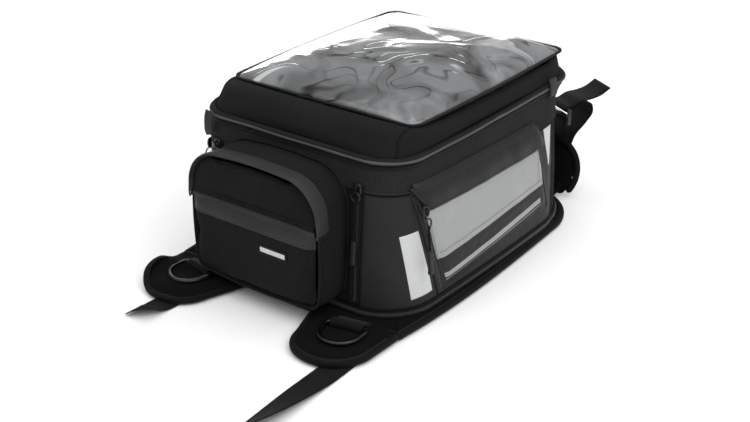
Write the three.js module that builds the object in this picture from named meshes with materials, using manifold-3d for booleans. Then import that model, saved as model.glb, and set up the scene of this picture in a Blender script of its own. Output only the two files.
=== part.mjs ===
// Motorcycle tank bag: a zipped soft bag with a map-window lid, a front pocket, two side
// pockets, and a base panel whose four corner flaps carry the fixing webbing.
// Millimetres. +X is the right-hand side, -Y the end with the front pocket, +Z up. The
// middle of the base's underside is the origin.
import * as THREE from 'three';
import { mergeVertices } from 'three/addons/utils/BufferGeometryUtils.js';
import Module from 'manifold-3d';

const wasm = await Module();
wasm.setup();

// ---- Driving dimensions ----
const GAP = 0.4; // left between sewn or resting neighbours

// The bag's walls run straight from the foot to the rim.
const FOOT = { z: 17, halfX: 152, halfY: 192, corner: 58 };
const RIM = { z: 180, halfX: 141, halfY: 180, corner: 40 };
const BOW = 0.035; // how much narrower the sides are at the ends than halfway along
const SHELL_WALL = 5;
const BOARD = { z: 22.5, thickness: 3, halfX: 112, halfY: 150, corner: 30 };
const UPPER_BAND = { bottom: 158, top: 175, thickness: 1.2 };
const LID_ZIP_HEIGHT = 4.4;

const BASE = { halfX: 157, front: -203, rear: 205, frontCorner: 12, rearCorner: 62 };
const GRIP_THICKNESS = 1.2;
const PANEL = { bottom: 1.5, top: 8.3 };
const BASE_ZIP = { bottom: 8.7, top: 16.6, proud: 2, depth: 8 };

const LID = {
  bottom: 182.2,
  shoulder: { z: 208, halfX: 136, halfY: 170, middleY: 6, corner: 34 },
  window: { z: 212, halfX: 129, halfY: 152, middleY: 19, corner: 14 },
  wall: 4,
  domeTop: 238,
  panelZ: 190,
  panelThickness: 3,
};
const WINDOW_THICKNESS = 1.2;
const PIPING = { radius: 2, z: 184.6, proud: 2.7 };

const POCKET = {
  middleX: -10, halfX: 87, bottom: 24, top: 168, front: -237, footCorner: 14, shoulder: 42,
  wall: 4, hingeZ: 118, panelThickness: 5,
};
const POCKET_TRIM = { bottom: 96.5, top: 117, thickness: 1.4 };
const POCKET_LABEL = { x: 21.5, z: 80, width: 42, height: 13, thickness: 1 };
const STORM_BAND = { width: 12, thickness: 2 };

// Corners of the panels on a side wall, as [y, z], from the lower front one round.
const SIDE_POCKET = {
  outline: [[-116, 24], [116, 38], [78, 148], [-157, 152]],
  proud: 8, skin: 2, margin: 9,
};
const SIDE_PANEL = { outline: [[-121, 64], [90, 74], [86, 119], [-137, 123]], thickness: 1 };
const SIDE_ZIP = { outline: [[-121, 27], [-112, 27], [-145, 146], [-154, 146]], thickness: 1 };
const SIDE_STRIPE = { outline: [[-110, 33], [86, 48], [84, 58], [-114, 43]], thickness: 0.6 };
const STORM_FLAP = {
  outline: [[-140, 132], [90, 126], [80, 152], [-158, 158]], thickness: 2, rootProud: 9.2,
  hemProud: 13.2,
};

const WEBBING = { wide: 38, narrow: 30, thickness: 1.6 };
const FLAP = { inner: 45, outer: 156, hingeY: -205, tip: -292, bottom: 2.4, top: 8.3 };
const REAR_FLAP = { inner: 34, outer: 124, hingeY: 208, length: 68, lean: 74, thickness: 6 };
const REAR_STRAP = { x: 95, y: 215, turn: 30 };
const D_RING = { width: 50, depth: 42, wire: 2.5, x: 106, y: -224, z: 13.4, turn: 10 };
const LOCK = { width: 46, depth: 5, bottom: 99.8, top: 120.6, bar: 3, member: 3.2 };
const FRONT_STRAP_START = -215;
const FRONT_STRAP_RIGHT = { x: 132, drift: 6, end: -418, twist: 0.68 };
const FRONT_STRAP_LEFT = { x: 91, drift: 9, end: -332, twist: -0.68 };

const CORNER_ZIP = { right: 95, left: 108, bottom: 22, top: 154, width: 11, thickness: 1.2 };
const SLIDER = { width: 8, length: 13, thickness: 3 };
const PULLER = {
  ringRadius: 5.5, ringWire: 1, cordRadius: 1.3, endLength: 27, endWidth: 6, lean: -5,
};
const SIDE_SLIDER = { y: -147, z: 130 };

// ---- Materials ----
const material = (color, roughness, metalness = 0) =>
  new THREE.MeshStandardMaterial({ color, roughness, metalness });
const FABRIC = material(0x1d1e20, 0.9);
const COATED = material(0x2c2d30, 0.6);
const TRIM = material(0x4a4b4e, 0.6);
const REFLECTIVE = material(0xb9babc, 0.45);
const RUBBER = material(0x141414, 0.85);
const PLASTIC = material(0x1a1b1d, 0.45);
const STEEL = material(0x9a9b9d, 0.3, 1);
const CLEAR = material(0xdfe2e4, 0.08);
const BOARD_GREY = material(0x3a3a3a, 0.7);

// ---- Small helpers ----
const vec = (x, y, z) => new THREE.Vector3(x, y, z);
const mix = THREE.MathUtils.lerp;
const radians = THREE.MathUtils.degToRad;

/** The sign of the enclosed volume: positive when the faces point outwards. */
function volumeSign(positions, indices) {
  const a = vec();
  const b = vec();
  const c = vec();
  let sum = 0;
  for (let i = 0; i < indices.length; i += 3) {
    a.fromArray(positions, 3 * indices[i]);
    b.fromArray(positions, 3 * indices[i + 1]);
    c.fromArray(positions, 3 * indices[i + 2]);
    sum += a.dot(b.cross(c));
  }
  return Math.sign(sum);
}

/** A closed mesh from plain arrays, turned so that its faces point outwards. */
function closedGeometry(positions, indices) {
  if (volumeSign(positions, indices) < 0) indices.reverse();
  const geometry = new THREE.BufferGeometry();
  geometry.setAttribute('position', new THREE.Float32BufferAttribute(positions, 3));
  geometry.setIndex(indices);
  return geometry;
}

/** Skins rings that have equal numbers of points; the ends are fans, unless it is closed. */
function loft(rings, closed = false) {
  const count = rings[0].length;
  const positions = rings.flat().flatMap((p) => [p.x, p.y, p.z]);
  const indices = [];
  const bands = closed ? rings.length : rings.length - 1;
  for (let i = 0; i < bands; i += 1) {
    const here = i * count;
    const there = ((i + 1) % rings.length) * count;
    for (let k = 0; k < count; k += 1) {
      const next = (k + 1) % count;
      indices.push(here + k, here + next, there + next, here + k, there + next, there + k);
    }
  }
  if (!closed) {
    for (const [ring, first, flip] of [[rings[0], 0, true],
      [rings.at(-1), (rings.length - 1) * count, false]]) {
      const middle = ring.reduce((sum, p) => sum.add(p), vec(0, 0, 0)).divideScalar(count);
      const hub = positions.length / 3;
      positions.push(middle.x, middle.y, middle.z);
      for (let k = 0; k < count; k += 1) {
        const [p, q] = flip ? [(k + 1) % count, k] : [k, (k + 1) % count];
        indices.push(hub, first + p, first + q);
      }
    }
  }
  return closedGeometry(positions, indices);
}

const toManifold = (geometry) => {
  const bare = geometry.clone();
  bare.deleteAttribute('normal');
  bare.deleteAttribute('uv');
  const merged = mergeVertices(bare, 1e-4);
  return new wasm.Manifold(new wasm.Mesh({
    numProp: 3,
    vertProperties: new Float32Array(merged.attributes.position.array),
    triVerts: new Uint32Array(merged.index.array),
  }));
};
const fromManifold = (solid) => {
  const mesh = solid.getMesh();
  return closedGeometry(Array.from(mesh.vertProperties), Array.from(mesh.triVerts));
};
const union = (...parts) =>
  fromManifold(parts.map(toManifold).reduce((whole, part) => whole.add(part)));
const cut = (whole, ...tools) =>
  fromManifold(tools.map(toManifold).reduce((rest, tool) => rest.subtract(tool),
    toManifold(whole)));

/** A box from its lowest and highest corners. */
function box(x0, x1, y0, y1, z0, z1) {
  const geometry = new THREE.BoxGeometry(x1 - x0, y1 - y0, z1 - z0);
  return geometry.translate((x0 + x1) / 2, (y0 + y1) / 2, (z0 + z1) / 2);
}

/** A rounded rectangle, from +X round by +Y, with extra points along its long sides. */
function roundedOutline({ halfX, halfY, corner, z, middleY = 0, bow = 0 }, arcSteps = 6) {
  const points = [];
  const innerX = halfX - corner;
  const innerY = halfY - corner;
  const centres = [[innerX, innerY], [-innerX, innerY], [-innerX, -innerY], [innerX, -innerY]];
  centres.forEach(([cx, cy], quarter) => {
    for (let i = 0; i <= arcSteps; i += 1) {
      const angle = (quarter + i / arcSteps) * Math.PI / 2;
      points.push([cx + corner * Math.cos(angle), cy + corner * Math.sin(angle)]);
    }
    const [nx, ny] = centres[(quarter + 1) % centres.length];
    const alongY = nx === cx;
    const steps = alongY ? 6 : 2;
    for (let i = 1; i < steps; i += 1) {
      const t = i / steps;
      points.push(alongY ? [cx + Math.sign(cx) * corner, mix(cy, ny, t)]
        : [mix(cx, nx, t), cy + Math.sign(cy) * corner]);
    }
  });
  return points.map(([x, y]) => vec(x * (1 - bow * (y / halfY) ** 2), y + middleY, z));
}

/** The bag's wall at a height: half sizes and corner radius, moved outwards by `proud`. */
function wallAt(z, proud = 0) {
  const t = (z - FOOT.z) / (RIM.z - FOOT.z);
  return {
    halfX: mix(FOOT.halfX, RIM.halfX, t) + proud,
    halfY: mix(FOOT.halfY, RIM.halfY, t) + proud,
    corner: mix(FOOT.corner, RIM.corner, t) + proud,
    z,
    bow: BOW,
  };
}
const wallOutline = (z, proud = 0) => roundedOutline(wallAt(z, proud));

/** A point on the right-hand wall. */
function onSide(y, z, proud) {
  const { halfX, halfY, corner } = wallAt(z, proud);
  const intoCorner = Math.max(0, Math.abs(y) - (halfY - corner));
  const x = halfX - corner + Math.sqrt(Math.max(0, corner ** 2 - intoCorner ** 2));
  return vec(x * (1 - BOW * (y / halfY) ** 2), y, z);
}

/** A point on the front wall. */
function onFront(x, z, proud) {
  const { halfX, halfY, corner } = wallAt(z, proud);
  const intoCorner = Math.max(0, Math.abs(x) / (1 - BOW) - (halfX - corner));
  return vec(x, -(halfY - corner + Math.sqrt(Math.max(0, corner ** 2 - intoCorner ** 2))), z);
}

/** A slab that follows a wall. `quad` is its lower two corners, then its upper two. */
function wallSlab(surface, quad, thickness, proudBottom, proudTop = proudBottom,
  { steps = 10, rows = 4 } = {}) {
  const [[a0, z0], [a1, z1], [a2, z2], [a3, z3]] = quad;
  const rings = [];
  for (let i = 0; i <= steps; i += 1) {
    const t = i / steps;
    const inner = [];
    const outer = [];
    for (let j = 0; j < rows; j += 1) {
      const s = j / (rows - 1);
      const along = mix(mix(a0, a1, t), mix(a3, a2, t), s);
      const height = mix(mix(z0, z1, t), mix(z3, z2, t), s);
      const proud = mix(proudBottom, proudTop, s);
      inner.push(surface(along, height, proud));
      outer.push(surface(along, height, proud + thickness));
    }
    rings.push([...inner, ...outer.reverse()]);
  }
  return loft(rings);
}

/** A band round the bag between two heights. */
const band = (z0, z1, inside, outside) => loft([
  wallOutline(z0, inside), wallOutline(z0, outside), wallOutline(z1, outside),
  wallOutline(z1, inside)], true);

/** Webbing along a path. `across` gives the unit vector over its width at each point. */
function webbing(path, width, thickness, across) {
  const rings = path.map((point, i) => {
    const before = path[Math.max(0, i - 1)];
    const after = path[Math.min(path.length - 1, i + 1)];
    const wide = across(i / (path.length - 1)).normalize();
    const up = wide.clone().cross(after.clone().sub(before)).normalize();
    const half = width / 2;
    return [[-half, -1], [half, -1], [half, 1], [-half, 1]].map(([w, u]) =>
      point.clone().addScaledVector(wide, w).addScaledVector(up, u * thickness / 2));
  });
  return loft(rings);
}

/** A plate cut to a flat outline. */
function plate(outline, z0, z1) {
  const geometry = new THREE.ExtrudeGeometry(outline, {
    depth: z1 - z0, bevelEnabled: false, curveSegments: 8 });
  return geometry.translate(0, 0, z0);
}

/** Round wire along a closed flat path. */
function closedWire(path, radius, sides = 6) {
  const rings = path.map((point, i) => {
    const before = path[(i + path.length - 1) % path.length];
    const after = path[(i + 1) % path.length];
    const ahead = after.clone().sub(before).normalize();
    const out = ahead.clone().cross(vec(0, 0, 1));
    return Array.from({ length: sides }, (_, k) => {
      const angle = 2 * Math.PI * k / sides;
      return point.clone().addScaledVector(out, radius * Math.cos(angle))
        .add(vec(0, 0, radius * Math.sin(angle)));
    });
  });
  return loft(rings, true);
}

// ---- The assembly ----
const bag = new THREE.Group();

function add(name, geometry, look, parent = bag) {
  const mesh = new THREE.Mesh(geometry, look.clone());
  mesh.name = name;
  parent.add(mesh);
  return mesh;
}

/** The left-hand copy of a right-hand piece. */
function mirrored(geometry) {
  const flat = geometry.index ? geometry.clone() : mergeVertices(geometry.clone());
  const positions = Array.from(flat.attributes.position.array);
  for (let i = 0; i < positions.length; i += 3) positions[i] *= -1;
  return closedGeometry(positions, Array.from(flat.index.array));
}

function addPair(name, geometry, look) {
  add(`${name}_right`, geometry, look);
  add(`${name}_left`, mirrored(geometry), look);
}

/** Moves a piece made round the origin to its place, turned about +Z and then tilted. */
function placed(geometry, { x = 0, y = 0, z = 0, turn = 0, tilt = 0 }) {
  const matrix = new THREE.Matrix4().makeTranslation(x, y, z)
    .multiply(new THREE.Matrix4().makeRotationZ(radians(turn)))
    .multiply(new THREE.Matrix4().makeRotationX(radians(tilt)));
  return geometry.clone().applyMatrix4(matrix);
}

// ---- Base ----
function baseOutline(inset) {
  const { halfX, front, rear, frontCorner, rearCorner } = BASE;
  const x = halfX - inset;
  const y0 = front + inset;
  const y1 = rear - inset;
  const shape = new THREE.Shape();
  shape.moveTo(-x + frontCorner, y0);
  shape.lineTo(x - frontCorner, y0);
  shape.absarc(x - frontCorner, y0 + frontCorner, frontCorner, -Math.PI / 2, 0);
  shape.absarc(x - rearCorner, y1 - rearCorner, rearCorner, 0, Math.PI / 2);
  shape.absarc(-x + rearCorner, y1 - rearCorner, rearCorner, Math.PI / 2, Math.PI);
  shape.absarc(-x + frontCorner, y0 + frontCorner, frontCorner, Math.PI, 1.5 * Math.PI);
  return shape;
}

function addBase() {
  add('base_grip', plate(baseOutline(6), 0, GRIP_THICKNESS), RUBBER);
  add('base_panel', plate(baseOutline(0), PANEL.bottom, PANEL.top), FABRIC);
  const { bottom, top, proud, depth } = BASE_ZIP;
  add('base_zip', band(bottom, top, proud - depth, proud), PLASTIC);
}

// ---- Body ----
function addShell() {
  const floor = FOOT.z + SHELL_WALL;
  const hem = 3;
  add('main_shell', loft([
    wallOutline(FOOT.z, -hem), wallOutline(FOOT.z + hem), wallOutline(RIM.z),
    wallOutline(RIM.z, -SHELL_WALL), wallOutline(floor, -SHELL_WALL),
  ]), FABRIC);
  const board = { halfX: BOARD.halfX, halfY: BOARD.halfY, corner: BOARD.corner };
  add('base_board', loft([
    roundedOutline({ ...board, z: BOARD.z }),
    roundedOutline({ ...board, z: BOARD.z + BOARD.thickness }),
  ]), BOARD_GREY);
  const { bottom, top, thickness } = UPPER_BAND;
  add('upper_band', band(bottom, top, GAP, GAP + thickness), FABRIC);
  add('lid_zip', band(top + GAP, top + GAP + LID_ZIP_HEIGHT, GAP, GAP + thickness), PLASTIC);
}

function addCornerZip(side) {
  const { bottom, top, width, thickness } = CORNER_ZIP;
  const x = CORNER_ZIP[side];
  const x0 = x - width / 2;
  const x1 = x + width / 2;
  const tape = wallSlab(onFront, [[x0, bottom], [x1, bottom], [x1, top], [x0, top]],
    thickness, GAP, GAP, { steps: 3 });
  add(`corner_zip_${side}`, side === 'left' ? mirrored(tape) : tape, PLASTIC);
}

// ---- Front pocket ----
/** The pocket's arched outline, seen from the front, at one depth. */
function pocketOutline(inset, depthAt) {
  const { middleX, halfX, bottom, top, footCorner, shoulder } = POCKET;
  const arcs = [
    [halfX - footCorner, bottom + footCorner, footCorner, -0.5],
    [halfX - shoulder, top - shoulder, shoulder, 0],
    [-(halfX - shoulder), top - shoulder, shoulder, 0.5],
    [-(halfX - footCorner), bottom + footCorner, footCorner, 1],
  ];
  const steps = 6;
  return arcs.flatMap(([cx, cz, radius, start]) =>
    Array.from({ length: steps + 1 }, (_, i) => {
      const angle = (start + 0.5 * i / steps) * Math.PI;
      const x = middleX + cx + (radius - inset) * Math.cos(angle);
      const z = cz + (radius - inset) * Math.sin(angle);
      return vec(x, depthAt(x, z), z);
    }));
}

const behindPocket = (x, z) => onFront(0, z, UPPER_BAND.thickness + 2 * GAP).y;

function addFrontPocket() {
  const { front, wall, hingeZ, panelThickness, middleX, halfX } = POCKET;
  const at = (y) => () => y;
  const edge = 5;
  const outside = loft([
    pocketOutline(0, behindPocket), pocketOutline(0, at(front + edge)),
    pocketOutline(edge, at(front)),
  ]);
  const inside = loft([pocketOutline(wall, at(front + wall)), pocketOutline(wall, at(0))]);
  const mouth = loft([pocketOutline(wall + 2, at(front - 1)),
    pocketOutline(wall + 2, at(front + wall + 1))]);
  const below = box(-200, 200, front - 2, front + 20, 0, hingeZ);
  add('front_pocket', cut(outside, inside, cut(mouth, below)), FABRIC);

  const leaf = loft([pocketOutline(wall + 2.5, at(front + panelThickness)),
    pocketOutline(wall + 2.5, at(front))]);
  const belowLeaf = box(-200, 200, front - 2, front + 20, 0, hingeZ + 2 * GAP);
  add('front_pocket_panel', cut(leaf, belowLeaf), FABRIC);

  const stormOuter = loft([pocketOutline(-GAP - STORM_BAND.thickness, at(front + 6)),
    pocketOutline(-GAP - STORM_BAND.thickness, at(front + 6 + STORM_BAND.width))]);
  const stormInner = loft([pocketOutline(-GAP, at(front)), pocketOutline(-GAP, at(front + 30))]);
  const belowStorm = box(-200, 200, front - 2, front + 40, 0, hingeZ);
  add('front_pocket_storm_flap', cut(stormOuter, stormInner, belowStorm), TRIM);

  const trimHalf = halfX - 6;
  const trim = POCKET_TRIM;
  add('front_pocket_trim', box(middleX - trimHalf, middleX + trimHalf,
    front - GAP - trim.thickness, front - GAP, trim.bottom, trim.top), TRIM);
  const label = POCKET_LABEL;
  add('front_pocket_label', box(label.x - label.width / 2, label.x + label.width / 2,
    front - GAP - label.thickness, front - GAP, label.z - label.height / 2,
    label.z + label.height / 2), TRIM);
}

// ---- Side pockets ----
function shrunk(quad, margin) {
  const [[a0, z0], [a1, z1], [a2, z2], [a3, z3]] = quad;
  return [[a0 + margin, z0 + margin], [a1 - margin, z1 + margin], [a2 - margin, z2 - margin],
    [a3 + margin, z3 - margin]];
}

function addSidePockets() {
  const { outline, proud, skin, margin } = SIDE_POCKET;
  const fine = { steps: 16, rows: 7 };
  const tray = cut(wallSlab(onSide, outline, proud - 2 * GAP, 2 * GAP, 2 * GAP, fine),
    wallSlab(onSide, shrunk(outline, margin), proud - skin + 3, -3, -3));
  addPair('side_pocket', tray, COATED);
  const onTop = proud + GAP;
  const { thickness } = SIDE_PANEL;
  addPair('side_panel', wallSlab(onSide, SIDE_PANEL.outline, thickness, onTop), REFLECTIVE);
  addPair('side_zip', wallSlab(onSide, SIDE_ZIP.outline, SIDE_ZIP.thickness, onTop), PLASTIC);
  addPair('side_stripe', wallSlab(onSide, SIDE_STRIPE.outline, SIDE_STRIPE.thickness, onTop),
    REFLECTIVE);
  addPair('side_storm_flap', wallSlab(onSide, STORM_FLAP.outline, STORM_FLAP.thickness,
    STORM_FLAP.hemProud, STORM_FLAP.rootProud), COATED);
}

// ---- Lid ----
function addLid() {
  const { bottom, shoulder, window, wall, domeTop, panelZ, panelThickness } = LID;
  const bend = { bow: BOW };
  const inset = (shape, amount, drop) => ({
    ...shape, halfX: shape.halfX - amount, halfY: shape.halfY - amount,
    corner: shape.corner - amount, z: shape.z - drop,
  });
  add('lid_border', loft([
    roundedOutline({ ...wallAt(RIM.z), z: bottom }),
    roundedOutline({ ...shoulder, ...bend }),
    roundedOutline({ ...window, ...bend }),
    roundedOutline({ ...window, ...bend, z: window.z - wall }),
    roundedOutline({ ...inset(shoulder, wall, wall), ...bend }),
    roundedOutline({ ...wallAt(RIM.z, -wall), z: bottom }),
  ], true), FABRIC);

  const pipe = [0, 1, 2, 3, 4, 5].map((k) => {
    const angle = k * Math.PI / 3;
    const proud = PIPING.proud + PIPING.radius * Math.cos(angle);
    return roundedOutline({ ...wallAt(RIM.z, proud),
      z: PIPING.z + PIPING.radius * Math.sin(angle) });
  });
  add('lid_piping', loft(pipe, true), TRIM);

  const panel = { halfX: 133.5, halfY: 169.5, middleY: 2.5, corner: 33, bow: BOW };
  add('lid_panel', loft([roundedOutline({ ...panel, z: panelZ }),
    roundedOutline({ ...panel, z: panelZ + panelThickness })]), FABRIC);

  const edge = { ...inset(window, GAP, 0), ...bend };
  const domeRing = (scale, lowered) => roundedOutline({
    ...edge, halfX: edge.halfX * scale, halfY: edge.halfY * scale, corner: edge.corner * scale,
    z: mix(domeTop, window.z, scale ** 2) - lowered,
  }, 4);
  const scales = [1, 0.85, 0.6, 0.25];
  add('map_window', loft([
    ...[...scales].reverse().map((scale) => domeRing(scale, WINDOW_THICKNESS)),
    ...scales.map((scale) => domeRing(scale, 0)),
  ]), CLEAR);

  const hang = (surface, quad) =>
    wallSlab(surface, quad, 1.6, 5.4, 5.4, { steps: 2, rows: 2 });
  add('lid_tab_front', hang(onFront, [[-121, 162], [-108, 162], [-108, 189], [-121, 189]]),
    TRIM);
  add('lid_tab_rear', hang(onSide, [[108, 174], [124, 174], [124, 195], [108, 195]]), TRIM);
}

// ---- Front flaps, D-rings and front webbing ----
function addFrontFlaps() {
  const { inner, outer, hingeY, tip, bottom, top } = FLAP;
  const shape = new THREE.Shape();
  shape.moveTo(outer, hingeY);
  shape.lineTo(inner, hingeY);
  shape.lineTo(inner + 17, hingeY - 50);
  shape.bezierCurveTo(inner + 22, tip + 10, inner + 40, tip, inner + 62, tip);
  shape.bezierCurveTo(outer - 20, tip, outer - 4, tip + 20, outer - 1, tip + 42);
  addPair('front_flap', plate(shape, bottom, top), FABRIC);

  const { width, depth, wire, x, y, z, turn } = D_RING;
  const half = width / 2 - wire;
  const reach = depth - 2 * wire - half;
  const path = [vec(-half, 0, 0), vec(0, 0, 0), vec(half, 0, 0)];
  const arcSteps = 10;
  for (let i = 0; i <= arcSteps; i += 1) {
    const angle = Math.PI * i / arcSteps;
    path.push(vec(half * Math.cos(angle), -reach - half * Math.sin(angle), 0));
  }
  addPair('d_ring', placed(closedWire(path, wire), { x, y, z, turn }), STEEL);

  const reachRound = wire + GAP + WEBBING.thickness / 2;
  const loop = [vec(0, 14, -2.6), vec(0, 8, 0)];
  for (const angle of [90, 130, 180, 230, 270]) {
    loop.push(vec(0, reachRound * Math.cos(radians(angle)),
      reachRound * Math.sin(radians(angle))));
  }
  loop.push(vec(0, 6, -reachRound));
  const sleeve = webbing(loop, WEBBING.wide, WEBBING.thickness, () => vec(1, 0, 0));
  addPair('d_ring_webbing', placed(sleeve, { x, y, z, turn }), FABRIC);

  // The strap lies flat under its flap, then twists on to one edge towards its end.
  const strap = ({ x: strapX, drift, end, twist }) => {
    const start = FRONT_STRAP_START;
    const steps = 14;
    const flatUntil = (tip - 3 - start) / (end - start);
    const twistAt = (t) => twist * Math.max(0, (t - flatUntil) / (1 - flatUntil)) ** 1.5;
    const route = Array.from({ length: steps + 1 }, (_, i) => {
      const t = i / steps;
      const rise = Math.sin(Math.abs(twistAt(t))) * WEBBING.narrow / 2;
      return vec(strapX + drift * t, mix(start, end, t), WEBBING.thickness / 2 + rise);
    });
    const across = (t) => vec(Math.cos(twistAt(t)), 0, Math.sin(twistAt(t)));
    return webbing(route, WEBBING.narrow, WEBBING.thickness, across);
  };
  add('front_strap_right', strap(FRONT_STRAP_RIGHT), FABRIC);
  add('front_strap_left', mirrored(strap(FRONT_STRAP_LEFT)), FABRIC);
}

// ---- Rear flaps and rear webbing ----
function addRearFlaps() {
  const { inner, outer, hingeY, length, lean, thickness } = REAR_FLAP;
  const shape = new THREE.Shape();
  shape.moveTo(inner, 0);
  shape.lineTo(outer, 0);
  shape.bezierCurveTo(outer + 2, 0.6 * length, outer - 12, length, outer - 34, length);
  shape.lineTo(inner + 36, length);
  shape.bezierCurveTo(inner + 14, length, inner + 8, 0.6 * length, inner, 0);
  addPair('rear_flap', placed(plate(shape, 0, thickness), {
    y: hingeY + thickness, z: PANEL.bottom, tilt: lean }), FABRIC);

  // The strap, its buckle and the buckle's tab lie in one upright plane, turned outwards.
  const place = { x: REAR_STRAP.x, y: REAR_STRAP.y, turn: -REAR_STRAP.turn };
  const acrossX = () => vec(1, 0, 0);
  const inPlane = (points) => points.map(([out, z]) => vec(0, out, z));
  const strapCurve = new THREE.CatmullRomCurve3(inPlane([
    [15.5, 69.8], [21, 83], [36, 99], [44.5, 112], [42, 122], [30, 124.6], [20, 120.5],
    [12, 116.6], [7, 116.4], [4, 119], [7, 121.9], [14, 122.4], [26, 129], [40, 131.5],
    [56, 137], [73, 148],
  ]));
  addPair('rear_strap', placed(webbing(strapCurve.getPoints(36), WEBBING.wide,
    WEBBING.thickness, acrossX), place), FABRIC);

  const tab = inPlane([[13.4, 69.8], [9, 80], [5.2, 92], [5.2, 102], [6.4, 104.4], [8.5, 105.2],
    [10.6, 104.4], [11.8, 102], [11.8, 97]]);
  addPair('lock_tab', placed(webbing(tab, WEBBING.wide, WEBBING.thickness, acrossX), place),
    FABRIC);

  const { width, depth, bottom, top, bar, member } = LOCK;
  const half = width / 2;
  const middle = 8.5;
  const front = middle - depth / 2;
  const back = middle + depth / 2;
  const rung = (z) => box(-half + 1, half - 1, middle - bar / 2, middle + bar / 2, z, z + bar);
  const lock = union(
    box(-half, -half + member, front, back, bottom, top),
    box(half - member, half, front, back, bottom, top),
    rung(bottom), rung(top - bar),
    box(-half + 1, half - 1, front, back, 107, 111));
  addPair('ladder_lock', placed(lock, place), PLASTIC);
}

// ---- Zip sliders and their pulls ----
/** A slider lying on a wall that faces -Y, its bridge towards the viewer. */
function sliderShape() {
  const { width, length, thickness } = SLIDER;
  const body = new THREE.Shape();
  body.moveTo(-width / 2, -length / 2 + 2);
  body.lineTo(-width / 2 + 2, -length / 2);
  body.lineTo(width / 2 - 2, -length / 2);
  body.lineTo(width / 2, -length / 2 + 2);
  body.lineTo(width / 2 - 1, length / 2);
  body.lineTo(-width / 2 + 1, length / 2);
  const flat = plate(body, 0, thickness);
  return flat.applyMatrix4(new THREE.Matrix4().makeRotationX(Math.PI / 2));
}

/** A pull hanging from the origin: wire ring, cord and moulded end, facing -Y. */
function pullerShape(cordLength) {
  const { ringRadius, ringWire, cordRadius, endLength, endWidth } = PULLER;
  const ring = new THREE.TorusGeometry(ringRadius, ringWire, 5, 10);
  ring.rotateX(Math.PI / 2).translate(0, 0, -ringRadius);
  const cordTop = -2 * ringRadius + ringWire;
  const cord = new THREE.CylinderGeometry(cordRadius, cordRadius, cordLength, 6);
  cord.rotateX(Math.PI / 2).translate(0, 0, cordTop - cordLength / 2);
  const end = new THREE.CylinderGeometry(endWidth / 2, endWidth / 2.6, endLength, 8);
  end.rotateX(Math.PI / 2).scale(1, 0.7, 1);
  end.translate(0, 0, cordTop - cordLength - endLength / 2 + 1);
  return union(ring, cord, end);
}

function addSliders() {
  const lift = SLIDER.thickness + 1.4;
  const cornerZ = CORNER_ZIP.top - 2;
  const { lean } = PULLER;
  for (const side of ['right', 'left']) {
    const near = onFront(CORNER_ZIP[side] - 1, cornerZ, 0);
    const far = onFront(CORNER_ZIP[side] + 1, cornerZ, 0);
    const facing = Math.atan2(far.y - near.y, far.x - near.x);
    const out = vec(Math.sin(facing), -Math.cos(facing), 0);
    const turn = THREE.MathUtils.radToDeg(facing);
    const at = onFront(CORNER_ZIP[side], cornerZ, 0).addScaledVector(out, 2.6);
    const ringAt = at.clone().addScaledVector(out, lift);
    ringAt.z -= 2;
    const slider = placed(sliderShape(), { ...at, turn, tilt: lean });
    const puller = placed(pullerShape(46), { ...ringAt, turn, tilt: lean });
    add(`corner_slider_${side}`, side === 'left' ? mirrored(slider) : slider, PLASTIC);
    add(`corner_puller_${side}`, side === 'left' ? mirrored(puller) : puller, TRIM);
  }

  const side = onSide(SIDE_SLIDER.y, SIDE_SLIDER.z, SIDE_POCKET.proud + 2.2);
  addPair('side_slider', placed(sliderShape(), {
    ...side, turn: 90, tilt: lean }), PLASTIC);
  addPair('side_puller', placed(pullerShape(28), {
    x: side.x + lift, y: side.y, z: side.z - 7, turn: 90, tilt: lean }), TRIM);

  const left = POCKET.middleX - POCKET.halfX - GAP;
  const frontSlider = { x: left, y: POCKET.front + 12, z: POCKET.hingeZ - 10, turn: -90 };
  add('front_pocket_slider', placed(sliderShape(), frontSlider), PLASTIC);
  add('front_pocket_puller', placed(pullerShape(30), {
    ...frontSlider, x: left - lift, z: frontSlider.z - 2 }), TRIM);
}

addBase();
addShell();
addCornerZip('right');
addCornerZip('left');
addFrontPocket();
addSidePockets();
addLid();
addFrontFlaps();
addRearFlaps();
addSliders();

export default bag;
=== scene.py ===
"""A motorcycle tank bag: the look of every piece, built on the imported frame. Lengths in mm."""
import math

import bmesh
import bpy
import numpy as np
from mathutils import Matrix, Vector
from mathutils.bvhtree import BVHTree


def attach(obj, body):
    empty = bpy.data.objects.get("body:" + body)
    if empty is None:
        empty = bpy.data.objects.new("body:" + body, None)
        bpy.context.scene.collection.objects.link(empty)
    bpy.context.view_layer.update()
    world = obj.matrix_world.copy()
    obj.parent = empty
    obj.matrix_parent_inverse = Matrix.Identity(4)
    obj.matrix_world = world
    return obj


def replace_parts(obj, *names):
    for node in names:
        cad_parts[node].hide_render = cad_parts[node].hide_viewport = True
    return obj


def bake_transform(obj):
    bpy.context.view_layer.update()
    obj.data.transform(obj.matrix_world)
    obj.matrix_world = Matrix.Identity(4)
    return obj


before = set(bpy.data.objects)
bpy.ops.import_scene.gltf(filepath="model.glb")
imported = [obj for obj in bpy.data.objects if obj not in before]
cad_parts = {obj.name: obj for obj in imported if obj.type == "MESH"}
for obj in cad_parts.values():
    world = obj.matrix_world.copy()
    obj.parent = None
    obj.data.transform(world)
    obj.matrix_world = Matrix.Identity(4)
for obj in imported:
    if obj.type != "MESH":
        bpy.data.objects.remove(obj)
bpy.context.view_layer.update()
MM = 0.001
PI = math.pi
scene = bpy.context.scene

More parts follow.
